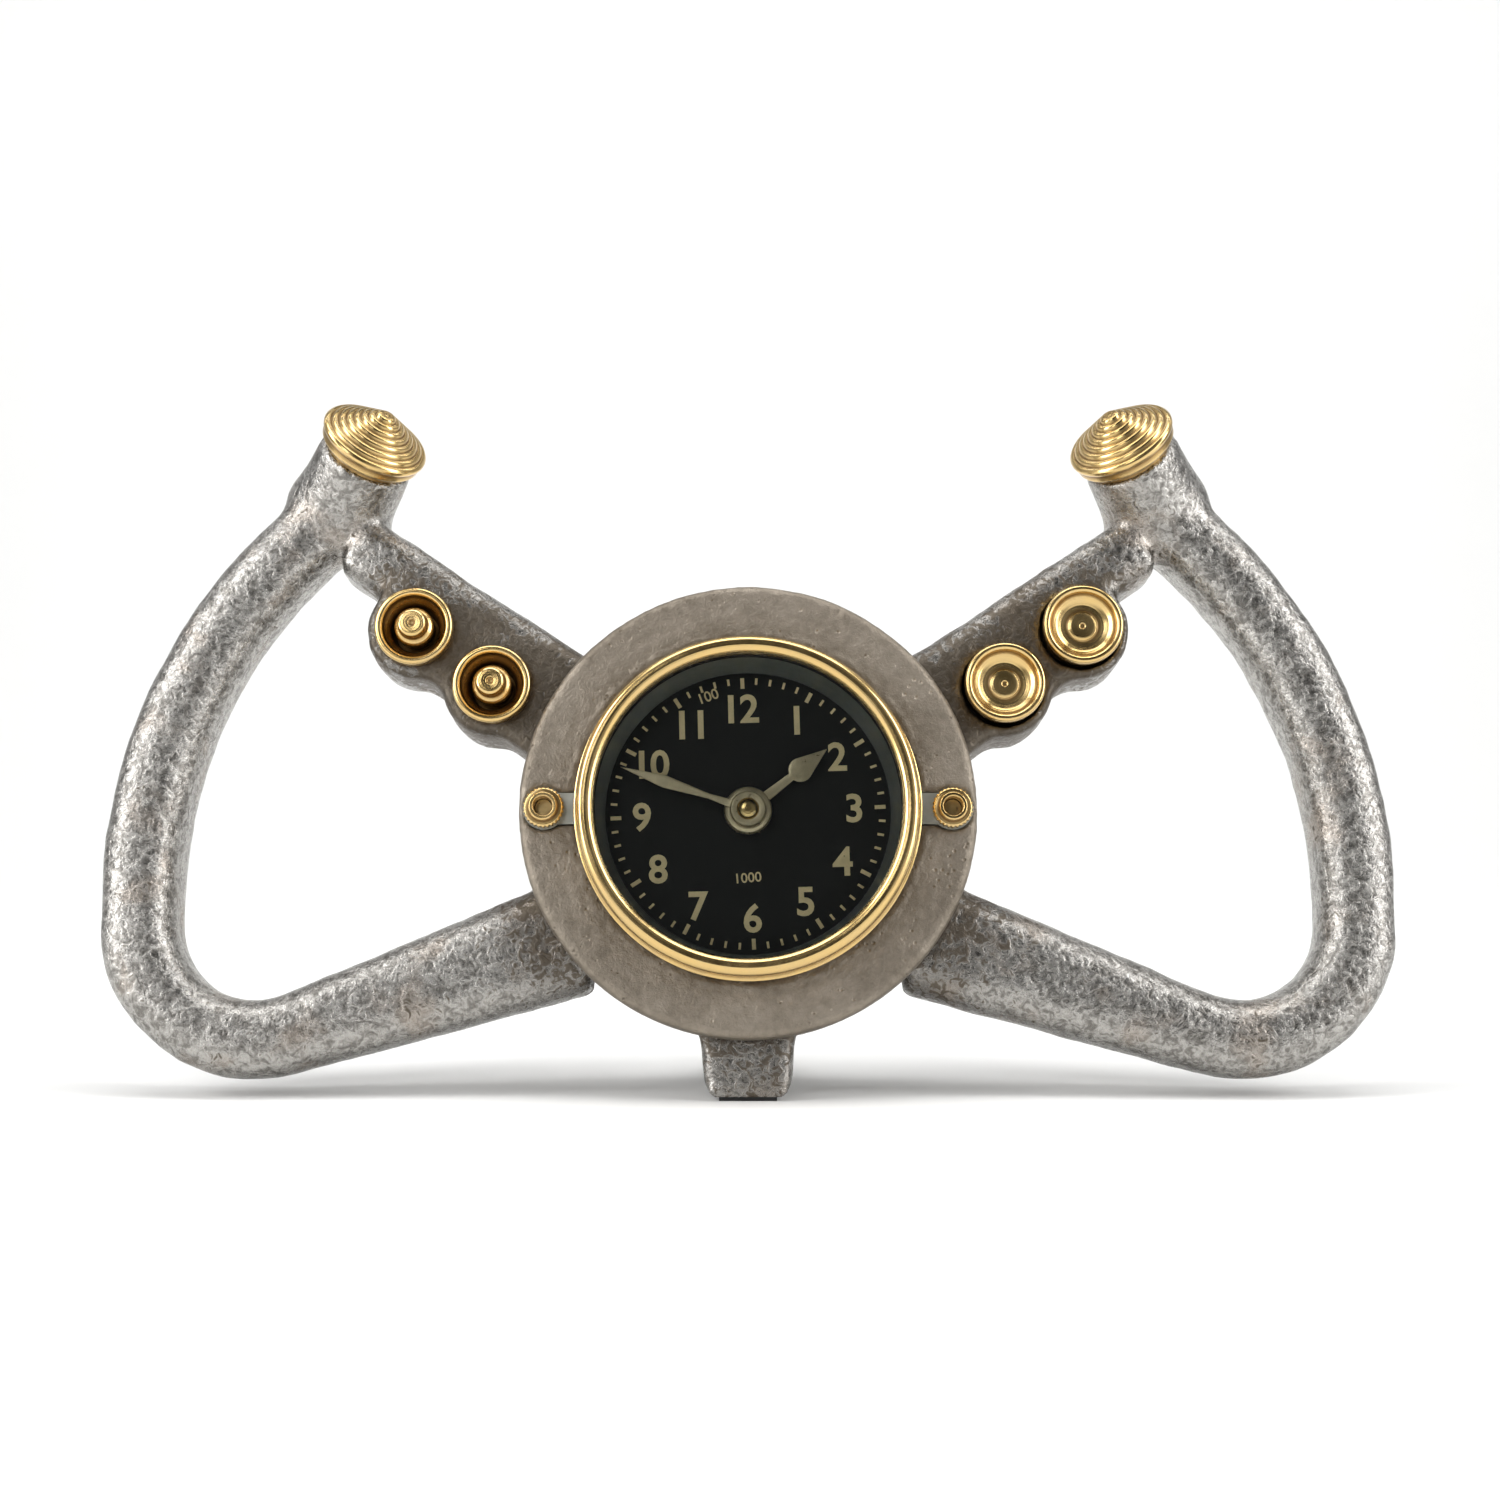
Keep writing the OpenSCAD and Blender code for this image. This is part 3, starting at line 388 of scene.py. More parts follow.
def plain_brass(key):
    return worn(key, (0.72, 0.53, 0.25), (0.55, 0.38, 0.16), (0.25, 0.4), 700, 0.03 * MM, Metallic=1.0)


def dial_black(key):
    s = sizes("dial")
    f = Finish(key, Specular_IOR_Level=0.18)
    grain = f.noise(2600, 2)
    cloud = f.noise(45, 3)
    f.set("Base Color", f.mix(cloud, s.face_colour, tuple(c * 1.7 + 0.002 for c in s.face_colour)))
    f.set("Roughness", cloud.between(0.3, 0.7, 0.42, 0.55))
    f.set("Normal", f.bump(grain, 0.02 * MM))
    return f


def dial_cream(key):
    s = sizes("dial")
    light = s.print_colour
    dark = tuple(c * 0.86 for c in light)
    return worn(key, light, dark, (0.5, 0.62), 1500, 0.015 * MM, Specular_IOR_Level=0.3)


def gilt(key):
    s = sizes("dial")
    dark = tuple(c * 0.72 for c in s.hand_colour)
    return worn(key, s.hand_colour, dark, (0.26, 0.4), 600, 0.015 * MM, Metallic=0.6)


def reflector_grey(key):
    return worn(key, (0.50, 0.52, 0.49), (0.38, 0.40, 0.37), (0.3, 0.42), 500, 0.01 * MM,
                Metallic=0.55)


def clear_glass(key):
    """A flat pane: what is behind it, with the reflection that the angle gives."""
    f = Finish(key, Metallic=1.0)
    f.set("Base Color", (0.95, 0.97, 0.98))
    f.set("Roughness", f.noise(60).between(0.4, 0.7, 0.02, 0.045))
    behind = f.node("ShaderNodeBsdfTransparent", {}, {"Color": (0.95, 0.97, 0.965)})
    share = f.node("ShaderNodeFresnel", {}, {"IOR": 1.45})
    shown = f.node("ShaderNodeMixShader", {}, {0: share, 1: behind, 2: Value(f, f.shader.outputs[0])})
    f.tree.links.new(shown.socket, f.output.inputs["Surface"])
    return f


def bright_steel(key):
    return worn(key, (0.62, 0.62, 0.61), (0.45, 0.45, 0.45), (0.24, 0.4), 800, 0.02 * MM,
                stretch=(1, 1, 6), Metallic=1.0)


def black_plastic(key):
    return worn(key, (0.035, 0.035, 0.036), (0.02, 0.02, 0.021), (0.45, 0.6), 1800, 0.04 * MM)


def white_plastic(key):
    return worn(key, (0.8, 0.8, 0.75), (0.7, 0.7, 0.64), (0.3, 0.42), 700, 0.01 * MM,
                Subsurface_Weight=0.0)


def soft_rubber(key):
    return worn(key, (0.035, 0.035, 0.034), (0.02, 0.02, 0.02), (0.7, 0.85), 1300, 0.06 * MM)


def winding_copper(key):
    f = Finish(key, Metallic=1.0)
    turns = f.node("ShaderNodeTexWave", {"bands_direction": "X"}, {
        "Vector": f.place(), "Scale": 1100.0, "Distortion": 0.4})
    f.set("Base Color", f.mix(turns, (0.30, 0.11, 0.05), (0.72, 0.36, 0.2)))
    f.set("Roughness", turns.between(0, 1, 0.45, 0.3))
    f.set("Normal", f.bump(turns, 0.05 * MM))
    return f


def board_green(key):
    f = Finish(key)
    cells = f.node("ShaderNodeTexVoronoi", {"distance": "CHEBYCHEV"}, {"Vector": f.place(), "Scale": 420.0})
    track = cells.between(0.34, 0.38)
    f.set("Base Color", f.mix(track, (0.02, 0.13, 0.06), (0.05, 0.22, 0.1)))
    f.set("Roughness", track.between(0, 1, 0.35, 0.25))
    f.set("Normal", f.bump(track, 0.04 * MM))
    return f


def cell_wrap(key):
    return worn(key, (0.36, 0.09, 0.06), (0.28, 0.06, 0.04), (0.25, 0.35), 300, 0.01 * MM)


def magnet_grey(key):
    return worn(key, (0.12, 0.12, 0.13), (0.07, 0.07, 0.08), (0.4, 0.55), 1200, 0.02 * MM, Metallic=0.8)


FINISHES = {f.__name__: f for f in (
    cast_aluminium, ring_aluminium, machined_aluminium, turned_brass, plain_brass, dial_black,
    dial_cream, gilt, reflector_grey, clear_glass, bright_steel, black_plastic, white_plastic,
    soft_rubber, winding_copper, board_green, cell_wrap, magnet_grey)}

# CAD nodes whose shape is right as it stands, and the finish that each one gets
NODE_FINISHES = {
    "dial_black": ("dial_plate", "dial_washer"),
    "dial_cream": ("dial_print",),
    "reflector_grey": ("reflector_ring", "dial_pan"),
    "clear_glass": ("crystal",),
    "soft_rubber": ("crystal_gasket", "rubber_pads"),
    "plain_brass": ("threaded_bush", "bush_nut", "minute_arbor", "clamp_studs", "dish_bushes"),
    "black_plastic": ("movement_case", "movement_back"),
    "white_plastic": ("middle_plate", "hour_wheel", "motion_wheel", "setting_arbor", "centre_wheel",
                      "third_wheel", "second_wheel"),
    "magnet_grey": ("rotor",),
    "winding_copper": ("coil",),
    "board_green": ("circuit_board",),
    "cell_wrap": ("battery",),
    "bright_steel": ("stator", "timing_crystal", "battery_contacts", "plunger_spring_outer",
                     "plunger_spring_inner", "dish_spring_outer", "dish_spring_inner",
                     "plunger_clip_outer", "plunger_clip_inner", "dish_clip_outer", "dish_clip_inner",
                     "knob_studs"),
}


# ---------- meshes ----------
def settle(name, mesh, finish, body=ROOT, replaced=()):
    """Makes a mesh a piece of the clock: its finish, the body it rides on and the nodes it stands for."""
    piece = bpy.data.objects.new(name, mesh)
    bpy.context.scene.collection.objects.link(piece)
    mesh.materials.clear()
    mesh.materials.append(finish_of(finish))
    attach(piece, body)
    if replaced:
        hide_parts(*replaced)
    return piece


def to_mesh(name, bm, place=None, crease=35):
    """Closes a bmesh into a mesh in the clock's frame, smooth but for edges sharper than crease degrees."""
    if place is not None:
        bmesh.ops.transform(bm, matrix=place, verts=bm.verts)
    for face in bm.faces:
        face.smooth = True
    for edge in bm.edges:
        edge.smooth = edge.calc_face_angle(0.0) < math.radians(crease)
    mesh = bpy.data.meshes.new(name)
    bm.to_mesh(mesh)
    bm.free()
    return mesh


def profile_walk(bm, start):
    """The vertices of an open or closed line in order, from start."""
    order, last = [start], None
    while True:
        ahead = [e.other_vert(order[-1]) for e in order[-1].link_edges if e is not last]
        if not ahead or ahead[0] is start:
            return order
        last = next(e for e in order[-1].link_edges if e is not last and e.other_vert(order[-1]) is ahead[0])
        order.append(ahead[0])


def spun(points, edge=None, closed=False, grooves=(), depth=0.5):
    """A bmesh turned from profile points (radius, depth) in millimetres, about the Y axis.

    edge rounds the corners. grooves are (radius, depth, reach) in millimetres, where the painted shade goes.
    """
    s = sizes("brass")
    bm = bmesh.new()
    along = bm.verts.layers.float.new("along")
    groove = bm.verts.layers.float.new("groove")
    line = [bm.verts.new((r * MM, y * MM, 0)) for r, y in points]
    for a, b in zip(line, line[1:] + line[:1] * closed):
        bm.edges.new((a, b))
    corners = line if closed else line[1:-1]
    rounding = s.edge if edge is None else edge
    if rounding > 0:
        bmesh.ops.bevel(bm, geom=corners, offset=rounding, offset_type="OFFSET", affect="VERTICES",
                        segments=4, profile=0.5, material=-1, clamp_overlap=True)
    bm.verts.ensure_lookup_table()
    ends = [v for v in bm.verts if len(v.link_edges) == 1]
    run, before = 0.0, None
    for v in profile_walk(bm, ends[0] if ends else bm.verts[0]):
        run += (v.co - before).length if before is not None else 0.0
        before = v.co.copy()
        v[along] = run / MM
        # Painted shade weight: how near each profile point is to a listed groove or inner corner.
        v[groove] = max([0.0] + [1 - math.hypot(v.co.x / MM - r, v.co.y / MM - y) / reach
                                 for r, y, reach in grooves]) * depth * 2
    bmesh.ops.spin(bm, geom=bm.verts[:] + bm.edges[:], cent=(0, 0, 0), axis=(0, 1, 0),
                   angle=2 * math.pi, steps=s.turns, use_merge=True, use_duplicate=False)
    bmesh.ops.remove_doubles(bm, verts=bm.verts, dist=1e-6)
    bmesh.ops.dissolve_degenerate(bm, dist=1e-7, edges=bm.edges)
    bmesh.ops.recalc_face_normals(bm, faces=bm.faces)
    return bm


def cad_copy(node):
    """A bmesh of a CAD node, its loose triangles joined."""
    bm = bmesh.new()
    bm.from_mesh(frame["nodes"][node].data)
    bmesh.ops.remove_doubles(bm, verts=bm.verts, dist=1e-6)
    return bm


def softened(node, width, angle=28, segments=3):
    """A copy of a CAD node with its hard edges rounded by width, in metres."""
    bm = cad_copy(node)
    bmesh.ops.dissolve_limit(bm, angle_limit=math.radians(1.0), verts=bm.verts, edges=bm.edges)
    hard = [e for e in bm.edges if e.calc_face_angle(0.0) > math.radians(angle)]
    bmesh.ops.bevel(bm, geom=hard, offset=width, offset_type="OFFSET", affect="EDGES",
                    segments=segments, profile=0.5, material=-1, clamp_overlap=True)
    bmesh.ops.dissolve_degenerate(bm, dist=1e-7, edges=bm.edges)
    bmesh.ops.recalc_face_normals(bm, faces=bm.faces)
    return bm


def baked(mesh, *modifiers):
    """A new mesh: mesh with modifiers applied. Each is (type, settings)."""
    holder = bpy.data.objects.new("workpiece", mesh)
    bpy.context.scene.collection.objects.link(holder)
    if "calm" in mesh.attributes:
        group = holder.vertex_groups.new(name="calm")
        for i, w in enumerate(mesh.attributes["calm"].data):
            group.add([i], w.value, "REPLACE")
    for kind, settings in modifiers:
        modifier = holder.modifiers.new(kind.title(), kind)
        for key, value in settings.items():
            setattr(modifier, key, value)
    bpy.context.view_layer.update()
    result = bpy.data.meshes.new_from_object(holder.evaluated_get(bpy.context.evaluated_depsgraph_get()))
    bpy.data.objects.remove(holder)
    return result


def ramp(value, low, high):
    t = min(1.0, max(0.0, (value - low) / (high - low)))
    return t * t * (3 - 2 * t)


def cast_skin(node, grid, steps, freedom, swell, height):
    """A copy of a CAD node as a casting: one skin, rounded junctions and an uneven surface.

    freedom(p) is 0 where a yoke-frame point must stay as made and 1 where it may move.
    height(p) is how far it then stands out, kept inside the clock's own box.
    """
    loose = bpy.data.meshes.new("loose")
    bm = cad_copy(node)
    bm.to_mesh(loose)
    bm.free()
    skin = baked(loose, ("REMESH", {"mode": "VOXEL", "voxel_size": grid, "use_smooth_shade": True}))
    calm = skin.attributes.new("calm", "FLOAT", "POINT")
    weights = [freedom(TO_YOKE @ v.co) for v in skin.vertices]
    calm.data.foreach_set("value", weights)
    skin = baked(skin, ("SMOOTH", {"factor": 0.5, "iterations": steps, "vertex_group": "calm"}))
    normals = [v.normal.copy() for v in skin.vertices]
    for v, n, w in zip(skin.vertices, normals, weights):
        v.co += n * (w * (swell + height(TO_YOKE @ v.co)))
        v.co = Vector(min(max(c, low), high) for c, low, high in zip(v.co, *CAD_BOX))
    skin.attributes.remove(skin.attributes["calm"])
    return skin


# ---------- places taken from the frame's own measures, in millimetres ----------
CLAMP_X = 48.1
HORN_ROOT = Vector((101.5, 17.3, 77.5))
HORN_SLOPE = math.radians(52)
HORN_BEND = math.radians(40)
HORN_LENGTH = 18.0
HORN_DIRECTION = Vector((-math.cos(HORN_SLOPE) * math.cos(HORN_BEND), -math.sin(HORN_BEND),
                         math.sin(HORN_SLOPE) * math.cos(HORN_BEND)))
FRONT_OF_DIAL = 6.0


def horn_place(side):
    """Matrix from a knob's own frame, axis along Y, to the clock's frame. side is 1 on the right."""
    flip = Vector((side, 1, 1))
    axis = HORN_DIRECTION * flip
    root = (HORN_ROOT + HORN_LENGTH * HORN_DIRECTION) * flip * MM
    across = axis.cross(Vector((0, 0, 1))).normalized()
    turn = Matrix((across, axis, across.cross(axis))).transposed().to_4x4()
    return YOKE @ Matrix.Translation(root) @ turn


def arc(centre, radius, start, end, count):
    """Profile points on an arc, angles in degrees from the +radius direction towards +depth."""
    return [(centre[0] + radius * math.cos(math.radians(start + (end - start) * i / count)),
             centre[1] + radius * math.sin(math.radians(start + (end - start) * i / count)))
            for i in range(count + 1)]


def casting_freedom(p):
    """0 on the seats, bores and feet of the casting, 1 on its free skin."""
    x, y, z = (c / MM for c in p)
    r = math.hypot(x, z)
    free = ramp(r, 49.0, 50.5)
    if r < 54:
        free *= ramp(y, 7.0, 8.5) * (1 - ramp(y, 33.5, 35.5))
    for at, reach in zip(BUTTONS.values(), (8.9, 8.9, 10.6, 10.6)):
        free *= ramp(math.hypot(x - at.x / MM, z - at.z / MM), reach, reach + 1.6)
    side = Vector((math.copysign(1, x), 1, 1))
    tip = (Vector((x, y, z)) * side - HORN_ROOT).dot(HORN_DIRECTION)
    if z > 70:
        free *= 1 - ramp(tip, HORN_LENGTH - 2.2, HORN_LENGTH - 0.6)
    free *= ramp((YOKE @ p).z / MM, 1.5, 5.0)
    return free


def casting_height(p):
    s = sizes("casting")
    return (noise.noise(p / (15 * MM)) * s.wave + noise.noise(p / (3.6 * MM)) * s.lump
            + noise.noise(p / (6.5 * MM)) * s.lump)


def ring_freedom(p):
    x, y, z = (c / MM for c in p)
    r = math.hypot(x, z)
    clamp = math.hypot(abs(x) - CLAMP_X, z)
    slot = ramp(clamp, 5.5, 6.3) * (1.0 if abs(z) > 4.4 or abs(x) > CLAMP_X else 0.0)
    return ramp(r, 40.2, 41.0) * (1 - ramp(y, 3.5, 4.5)) * max(slot, 0.05)


def ring_height(p):
    s = sizes("casting")
    r = math.hypot(p.x, p.z) / MM
    rough = noise.noise(p / (2.6 * MM)) * 0.5 + noise.noise(p / (5.5 * MM)) * 0.5
    out = noise.noise(p / (13 * MM)) * s.wave * 0.45 + noise.noise(p / (2.2 * MM)) * s.lump * 0.7
    if p.y < 1.0 * MM:
        out += s.lip * math.exp(-((r - 42.2) / 0.8) ** 2) * max(0.0, 0.55 + rough * 1.2)
    nick = math.hypot(p.x / MM - 21.4, p.z / MM - 47.6)
    return out - 0.7 * MM * math.exp(-(nick / 1.1) ** 2)


# ---------- operators ----------
class StageOperator(bpy.types.Operator):
    """Sets the pale floor, the soft lights and the camera"""
    bl_idname = "yoke.stage"
    bl_label = "Stage"

    def light(self, name, place, aim, size, power, colour=(1, 1, 1)):
        lamp = bpy.data.lights.new(name, "AREA")
        lamp.shape = "RECTANGLE"
        lamp.size, lamp.size_y = size
        lamp.energy = power
        lamp.color = colour
        thing = bpy.data.objects.new(name, lamp)
        bpy.context.scene.collection.objects.link(thing)
        thing.location = place
        thing.rotation_euler = (Vector(aim) - Vector(place)).to_track_quat("-Z", "Y").to_euler()

    def floor(self):
        s = sizes("stage")
        f = Finish("Pale floor", Specular_IOR_Level=0.1)
        soft = f.noise(3.0)
        f.set("Base Color", f.mix(soft, s.floor, tuple(c * 0.985 for c in s.floor)))
        f.set("Roughness", soft.between(0.3, 0.7, 0.85, 0.95))
        bm = bmesh.new()
        curve = [(-3.0, 0.0), (1.2, 0.0)] + [
            (1.2 + 0.8 * math.sin(a), 0.8 - 0.8 * math.cos(a)) for a in
            (math.radians(7.5 * k) for k in range(1, 13))] + [(2.0, 3.0)]
        line = [bm.verts.new((-4.0, y, z)) for y, z in curve]
        edges = [bm.edges.new(pair) for pair in zip(line, line[1:])]
        made = bmesh.ops.extrude_edge_only(bm, edges=edges)
        moved = [v for v in made["geom"] if isinstance(v, bmesh.types.BMVert)]
        bmesh.ops.translate(bm, vec=(8.0, 0, 0), verts=moved)
        mesh = to_mesh("floor", bm)
        mesh.materials.append(f.material)
        sheet = bpy.data.objects.new("floor", mesh)
        bpy.context.scene.collection.objects.link(sheet)

    def surroundings(self):
        """A pale room, darker where the camera stands and bright at both sides."""
        world = bpy.data.worlds.new("Studio")
        bpy.context.scene.world = world
        world.use_nodes = True
        tree = world.node_tree
        place = tree.nodes.new("ShaderNodeTexCoord")
        split = tree.nodes.new("ShaderNodeSeparateXYZ")
        tree.links.new(place.outputs["Generated"], split.inputs[0])
        side = tree.nodes.new("ShaderNodeMath")
        side.operation = "ABSOLUTE"
        tree.links.new(split.outputs["X"], side.inputs[0])
        ramp_node = tree.nodes.new("ShaderNodeValToRGB")
        stops = ramp_node.color_ramp
        stops.elements[0].position, stops.elements[0].color = 0.15, (0.07, 0.07, 0.068, 1)
        stops.elements[1].position, stops.elements[1].color = 0.75, (0.55, 0.55, 0.56, 1)
        tree.links.new(side.outputs[0], ramp_node.inputs[0])
        back = tree.nodes["Background"]
        tree.links.new(ramp_node.outputs[0], back.inputs["Color"])
        back.inputs["Strength"].default_value = 0.8

    def camera(self):
        s = sizes("stage")
        lens = bpy.data.cameras.new("Camera")
        lens.sensor_width = 36
        lens.lens = s.lens
        lens.shift_x, lens.shift_y = 0.0013, 0.039
        lens.clip_start, lens.clip_end = 0.02, 40
        camera = bpy.data.objects.new("Camera", lens)
        bpy.context.scene.collection.objects.link(camera)
        camera.location = HUB + s.distance * Vector((0, -math.cos(s.rise), math.sin(s.rise)))
        camera.rotation_euler = (HUB - camera.location).to_track_quat("-Z", "Y").to_euler()
        bpy.context.scene.camera = camera

    def execute(self, context):
        s = sizes("stage")
        context.scene.view_settings.view_transform = "Standard"
        self.floor()
        self.surroundings()
        self.camera()
        aim = (0, 0, 0.07)
        self.light("Left window", (-0.95, -0.45, 0.5), aim, (0.35, 1.1), s.key)
        self.light("Right window", (0.95, -0.4, 0.5), aim, (0.35, 1.1), s.key * 0.9)
        self.light("Ceiling", (0, -0.1, 1.2), aim, (1.3, 0.5), s.key * 0.9)
        self.light("Front window", (-0.5, -1.2, 0.75), aim, (0.35, 0.5), s.key * 0.22)
        self.light("Backdrop", (0, 0.5, 1.3), (0, 1.9, 0.5), (3.0, 0.5), s.key * 2.6)
        return {"FINISHED"}


class CastingOperator(bpy.types.Operator):
    """Makes the sand-cast yoke body with its rounded junctions and rough skin"""
    bl_idname = "yoke.casting"
    bl_label = "Yoke casting"

    def execute(self, context):
        s = sizes("casting")
        mesh = cast_skin("yoke_casting", s.grid, s.fillet_steps, casting_freedom, 0.35 * MM, casting_height)
        settle("cast_yoke", mesh, "cast_aluminium", replaced=("yoke_casting",))
        return {"FINISHED"}


class RingOperator(bpy.types.Operator):
    """Makes the front ring with its rough casting lip"""
    bl_idname = "yoke.ring"
    bl_label = "Front ring"

    def execute(self, context):
        s = sizes("casting")
        mesh = cast_skin("hub_ring", s.ring_grid, 3, ring_freedom, 0.0, ring_height)
        settle("cast_ring", mesh, "ring_aluminium", replaced=("hub_ring",))
        return {"FINISHED"}


class BezelOperator(bpy.types.Operator):
    """Turns the brass bezel"""
    bl_idname = "yoke.bezel"
    bl_label = "Bezel"

    def execute(self, context):
        moulding = arc((38.15, -6.35), 2.12, 180, 360, 16)
        outline = [(36.03, -5.2)] + moulding + [
            (40.22, -3.0), (39.9, -2.75), (40.3, -2.35), (41.0, -2.1), (41.0, -0.5), (40.6, -0.02),
            (40.0, -0.02), (40.0, -2.4), (38.0, -2.4), (38.0, -5.2)]
        bm = spun(outline, closed=True, edge=0.12 * MM,
                  grooves=((39.9, -2.7, 0.9), (41.0, 0.0, 1.1), (36.0, -5.2, 1.0)))
        settle("brass_bezel", to_mesh("brass_bezel", bm, YOKE, crease=50), "turned_brass",
               replaced=("bezel",))
        return {"FINISHED"}


class DialOperator(bpy.types.Operator):
    """Prints the numerals on the dial"""
    bl_idname = "yoke.dial"
    bl_label = "Numerals"

    def figures(self, bm, words, height, x, z, turn=0.0, weight=0.022, spacing=1.0):
        """Adds figures of that height in metres, centred on a yoke-frame point in millimetres."""
        text = bpy.data.curves.new("figures", "FONT")
        text.body = words
        text.align_x = "CENTER"
        text.align_y = "CENTER"
        text.offset = weight
        text.space_character = spacing
        text.resolution_u = 4
        thing = bpy.data.objects.new("figures", text)
        bpy.context.scene.collection.objects.link(thing)
        bpy.context.view_layer.update()
        mesh = bpy.data.meshes.new_from_object(thing)
        bpy.data.objects.remove(thing)
        low = Vector([min(v.co[i] for v in mesh.vertices) for i in range(3)])
        high = Vector([max(v.co[i] for v in mesh.vertices) for i in range(3)])
        scale = height / (high.y - low.y)
        place = (Matrix.Translation((x * MM, (FRONT_OF_DIAL - 0.12) * MM, z * MM))
                 @ Matrix.Rotation(-turn, 4, "Y") @ Matrix.Rotation(math.pi / 2, 4, "X")
                 @ Matrix.Scale(scale, 4) @ Matrix.Translation(-(low + high) / 2))
        mesh.transform(place)
        bm.from_mesh(mesh)
        bpy.data.meshes.remove(mesh)

    def execute(self, context):
        s = sizes("dial")
        bm = bmesh.new()
        for hour in range(1, 13):
            angle = math.radians(30 * hour) - s.turn
            radius = s.radius / MM
            wide = 1.0 if hour < 10 else 0.93
            self.figures(bm, str(hour), s.numeral, radius * math.sin(angle), radius * math.cos(angle),
                         turn=s.turn * 0.6, spacing=wide)
        tilt = math.radians(20)
        self.figures(bm, "100", 2.6 * MM, -9.4, 28.4, turn=tilt, weight=0.012)
        self.figures(bm, "1000", 2.4 * MM, 0.2, -15.6, turn=s.turn * 2, weight=0.012)
        bmesh.ops.remove_doubles(bm, verts=bm.verts, dist=1e-6)
        bmesh.ops.solidify(bm, geom=bm.faces[:], thickness=0.08 * MM)
        bmesh.ops.recalc_face_normals(bm, faces=bm.faces)
        settle("dial_numerals", to_mesh("dial_numerals", bm, YOKE), "dial_cream")
        return {"FINISHED"}


class HandsOperator(bpy.types.Operator):
    """Makes the two gilt hands with their stepped hubs, and the cap over them"""
    bl_idname = "yoke.hands"
    bl_label = "Hands"

    def hand(self, name, node, body, hub):
        mesh = to_mesh(name, softened(node, 0.16 * MM, angle=40))
        bm = spun(hub, closed=True, edge=0.1 * MM)
        bmesh.ops.transform(bm, matrix=YOKE, verts=bm.verts)
        bm.from_mesh(mesh)
        settle(name, to_mesh(name, bm), "gilt", body, (node,))

    def execute(self, context):
        self.hand("leaf_minute_hand", "minute_hand", "minute_hands",
                  [(2.6, 0.62), (2.6, -0.25), (3.9, -0.3), (4.2, -0.05), (4.3, 0.62)])
        self.hand("pear_hour_hand", "hour_hand", "hour_train",
                  [(2.6, 2.62), (2.6, 1.7), (4.6, 1.6), (5.4, 1.9), (5.7, 2.62)])
        bm = spun([(0, -1.1), (0.7, -1.08), (1.5, -0.95), (2.1, -0.7), (2.45, -0.35), (2.6, 0.1),
                   (2.7, 0.6), (0, 0.6)], edge=0.08 * MM)
        settle("brass_hand_cap", to_mesh("brass_hand_cap", bm, YOKE), "turned_brass", "minute_hands",
               ("hand_cap",))
        return {"FINISHED"}


class ClampOperator(bpy.types.Operator):
    """Turns and knurls the two clamp nuts"""
    bl_idname = "yoke.clamps"
    bl_label = "Clamp nuts"

    def nut(self, side):
        s = sizes("brass")
        bm = spun([(2.12, 0), (2.12, -4.0), (2.5, -4.4), (3.1, -4.4), (3.4, -4.1), (3.4, -2.7),
                   (4.3, -2.6), (4.72, -2.2), (4.72, -0.4), (4.4, 0)], closed=True, edge=0.1 * MM,
                  grooves=((3.5, -2.7, 0.8), (2.1, -3.4, 1.2), (4.8, 0.0, 0.9)))
        for v in bm.verts:
            r = math.hypot(v.co.x, v.co.z)
            if r > 4.5 * MM:
                wave = math.cos(s.knurls * math.atan2(v.co.z, v.co.x))
                v.co.x *= 1 + 0.03 * wave
                v.co.z *= 1 + 0.03 * wave
        bmesh.ops.transform(bm, matrix=YOKE @ Matrix.Translation((side * CLAMP_X * MM, 0, 0)), verts=bm.verts)
        return bm

    def execute(self, context):
        bm = self.nut(1)
        other = to_mesh("clamp", self.nut(-1))
        bm.from_mesh(other)
        settle("knurled_nuts", to_mesh("knurled_nuts", bm, crease=40), "turned_brass",
               replaced=("clamp_nuts",))
        return {"FINISHED"}


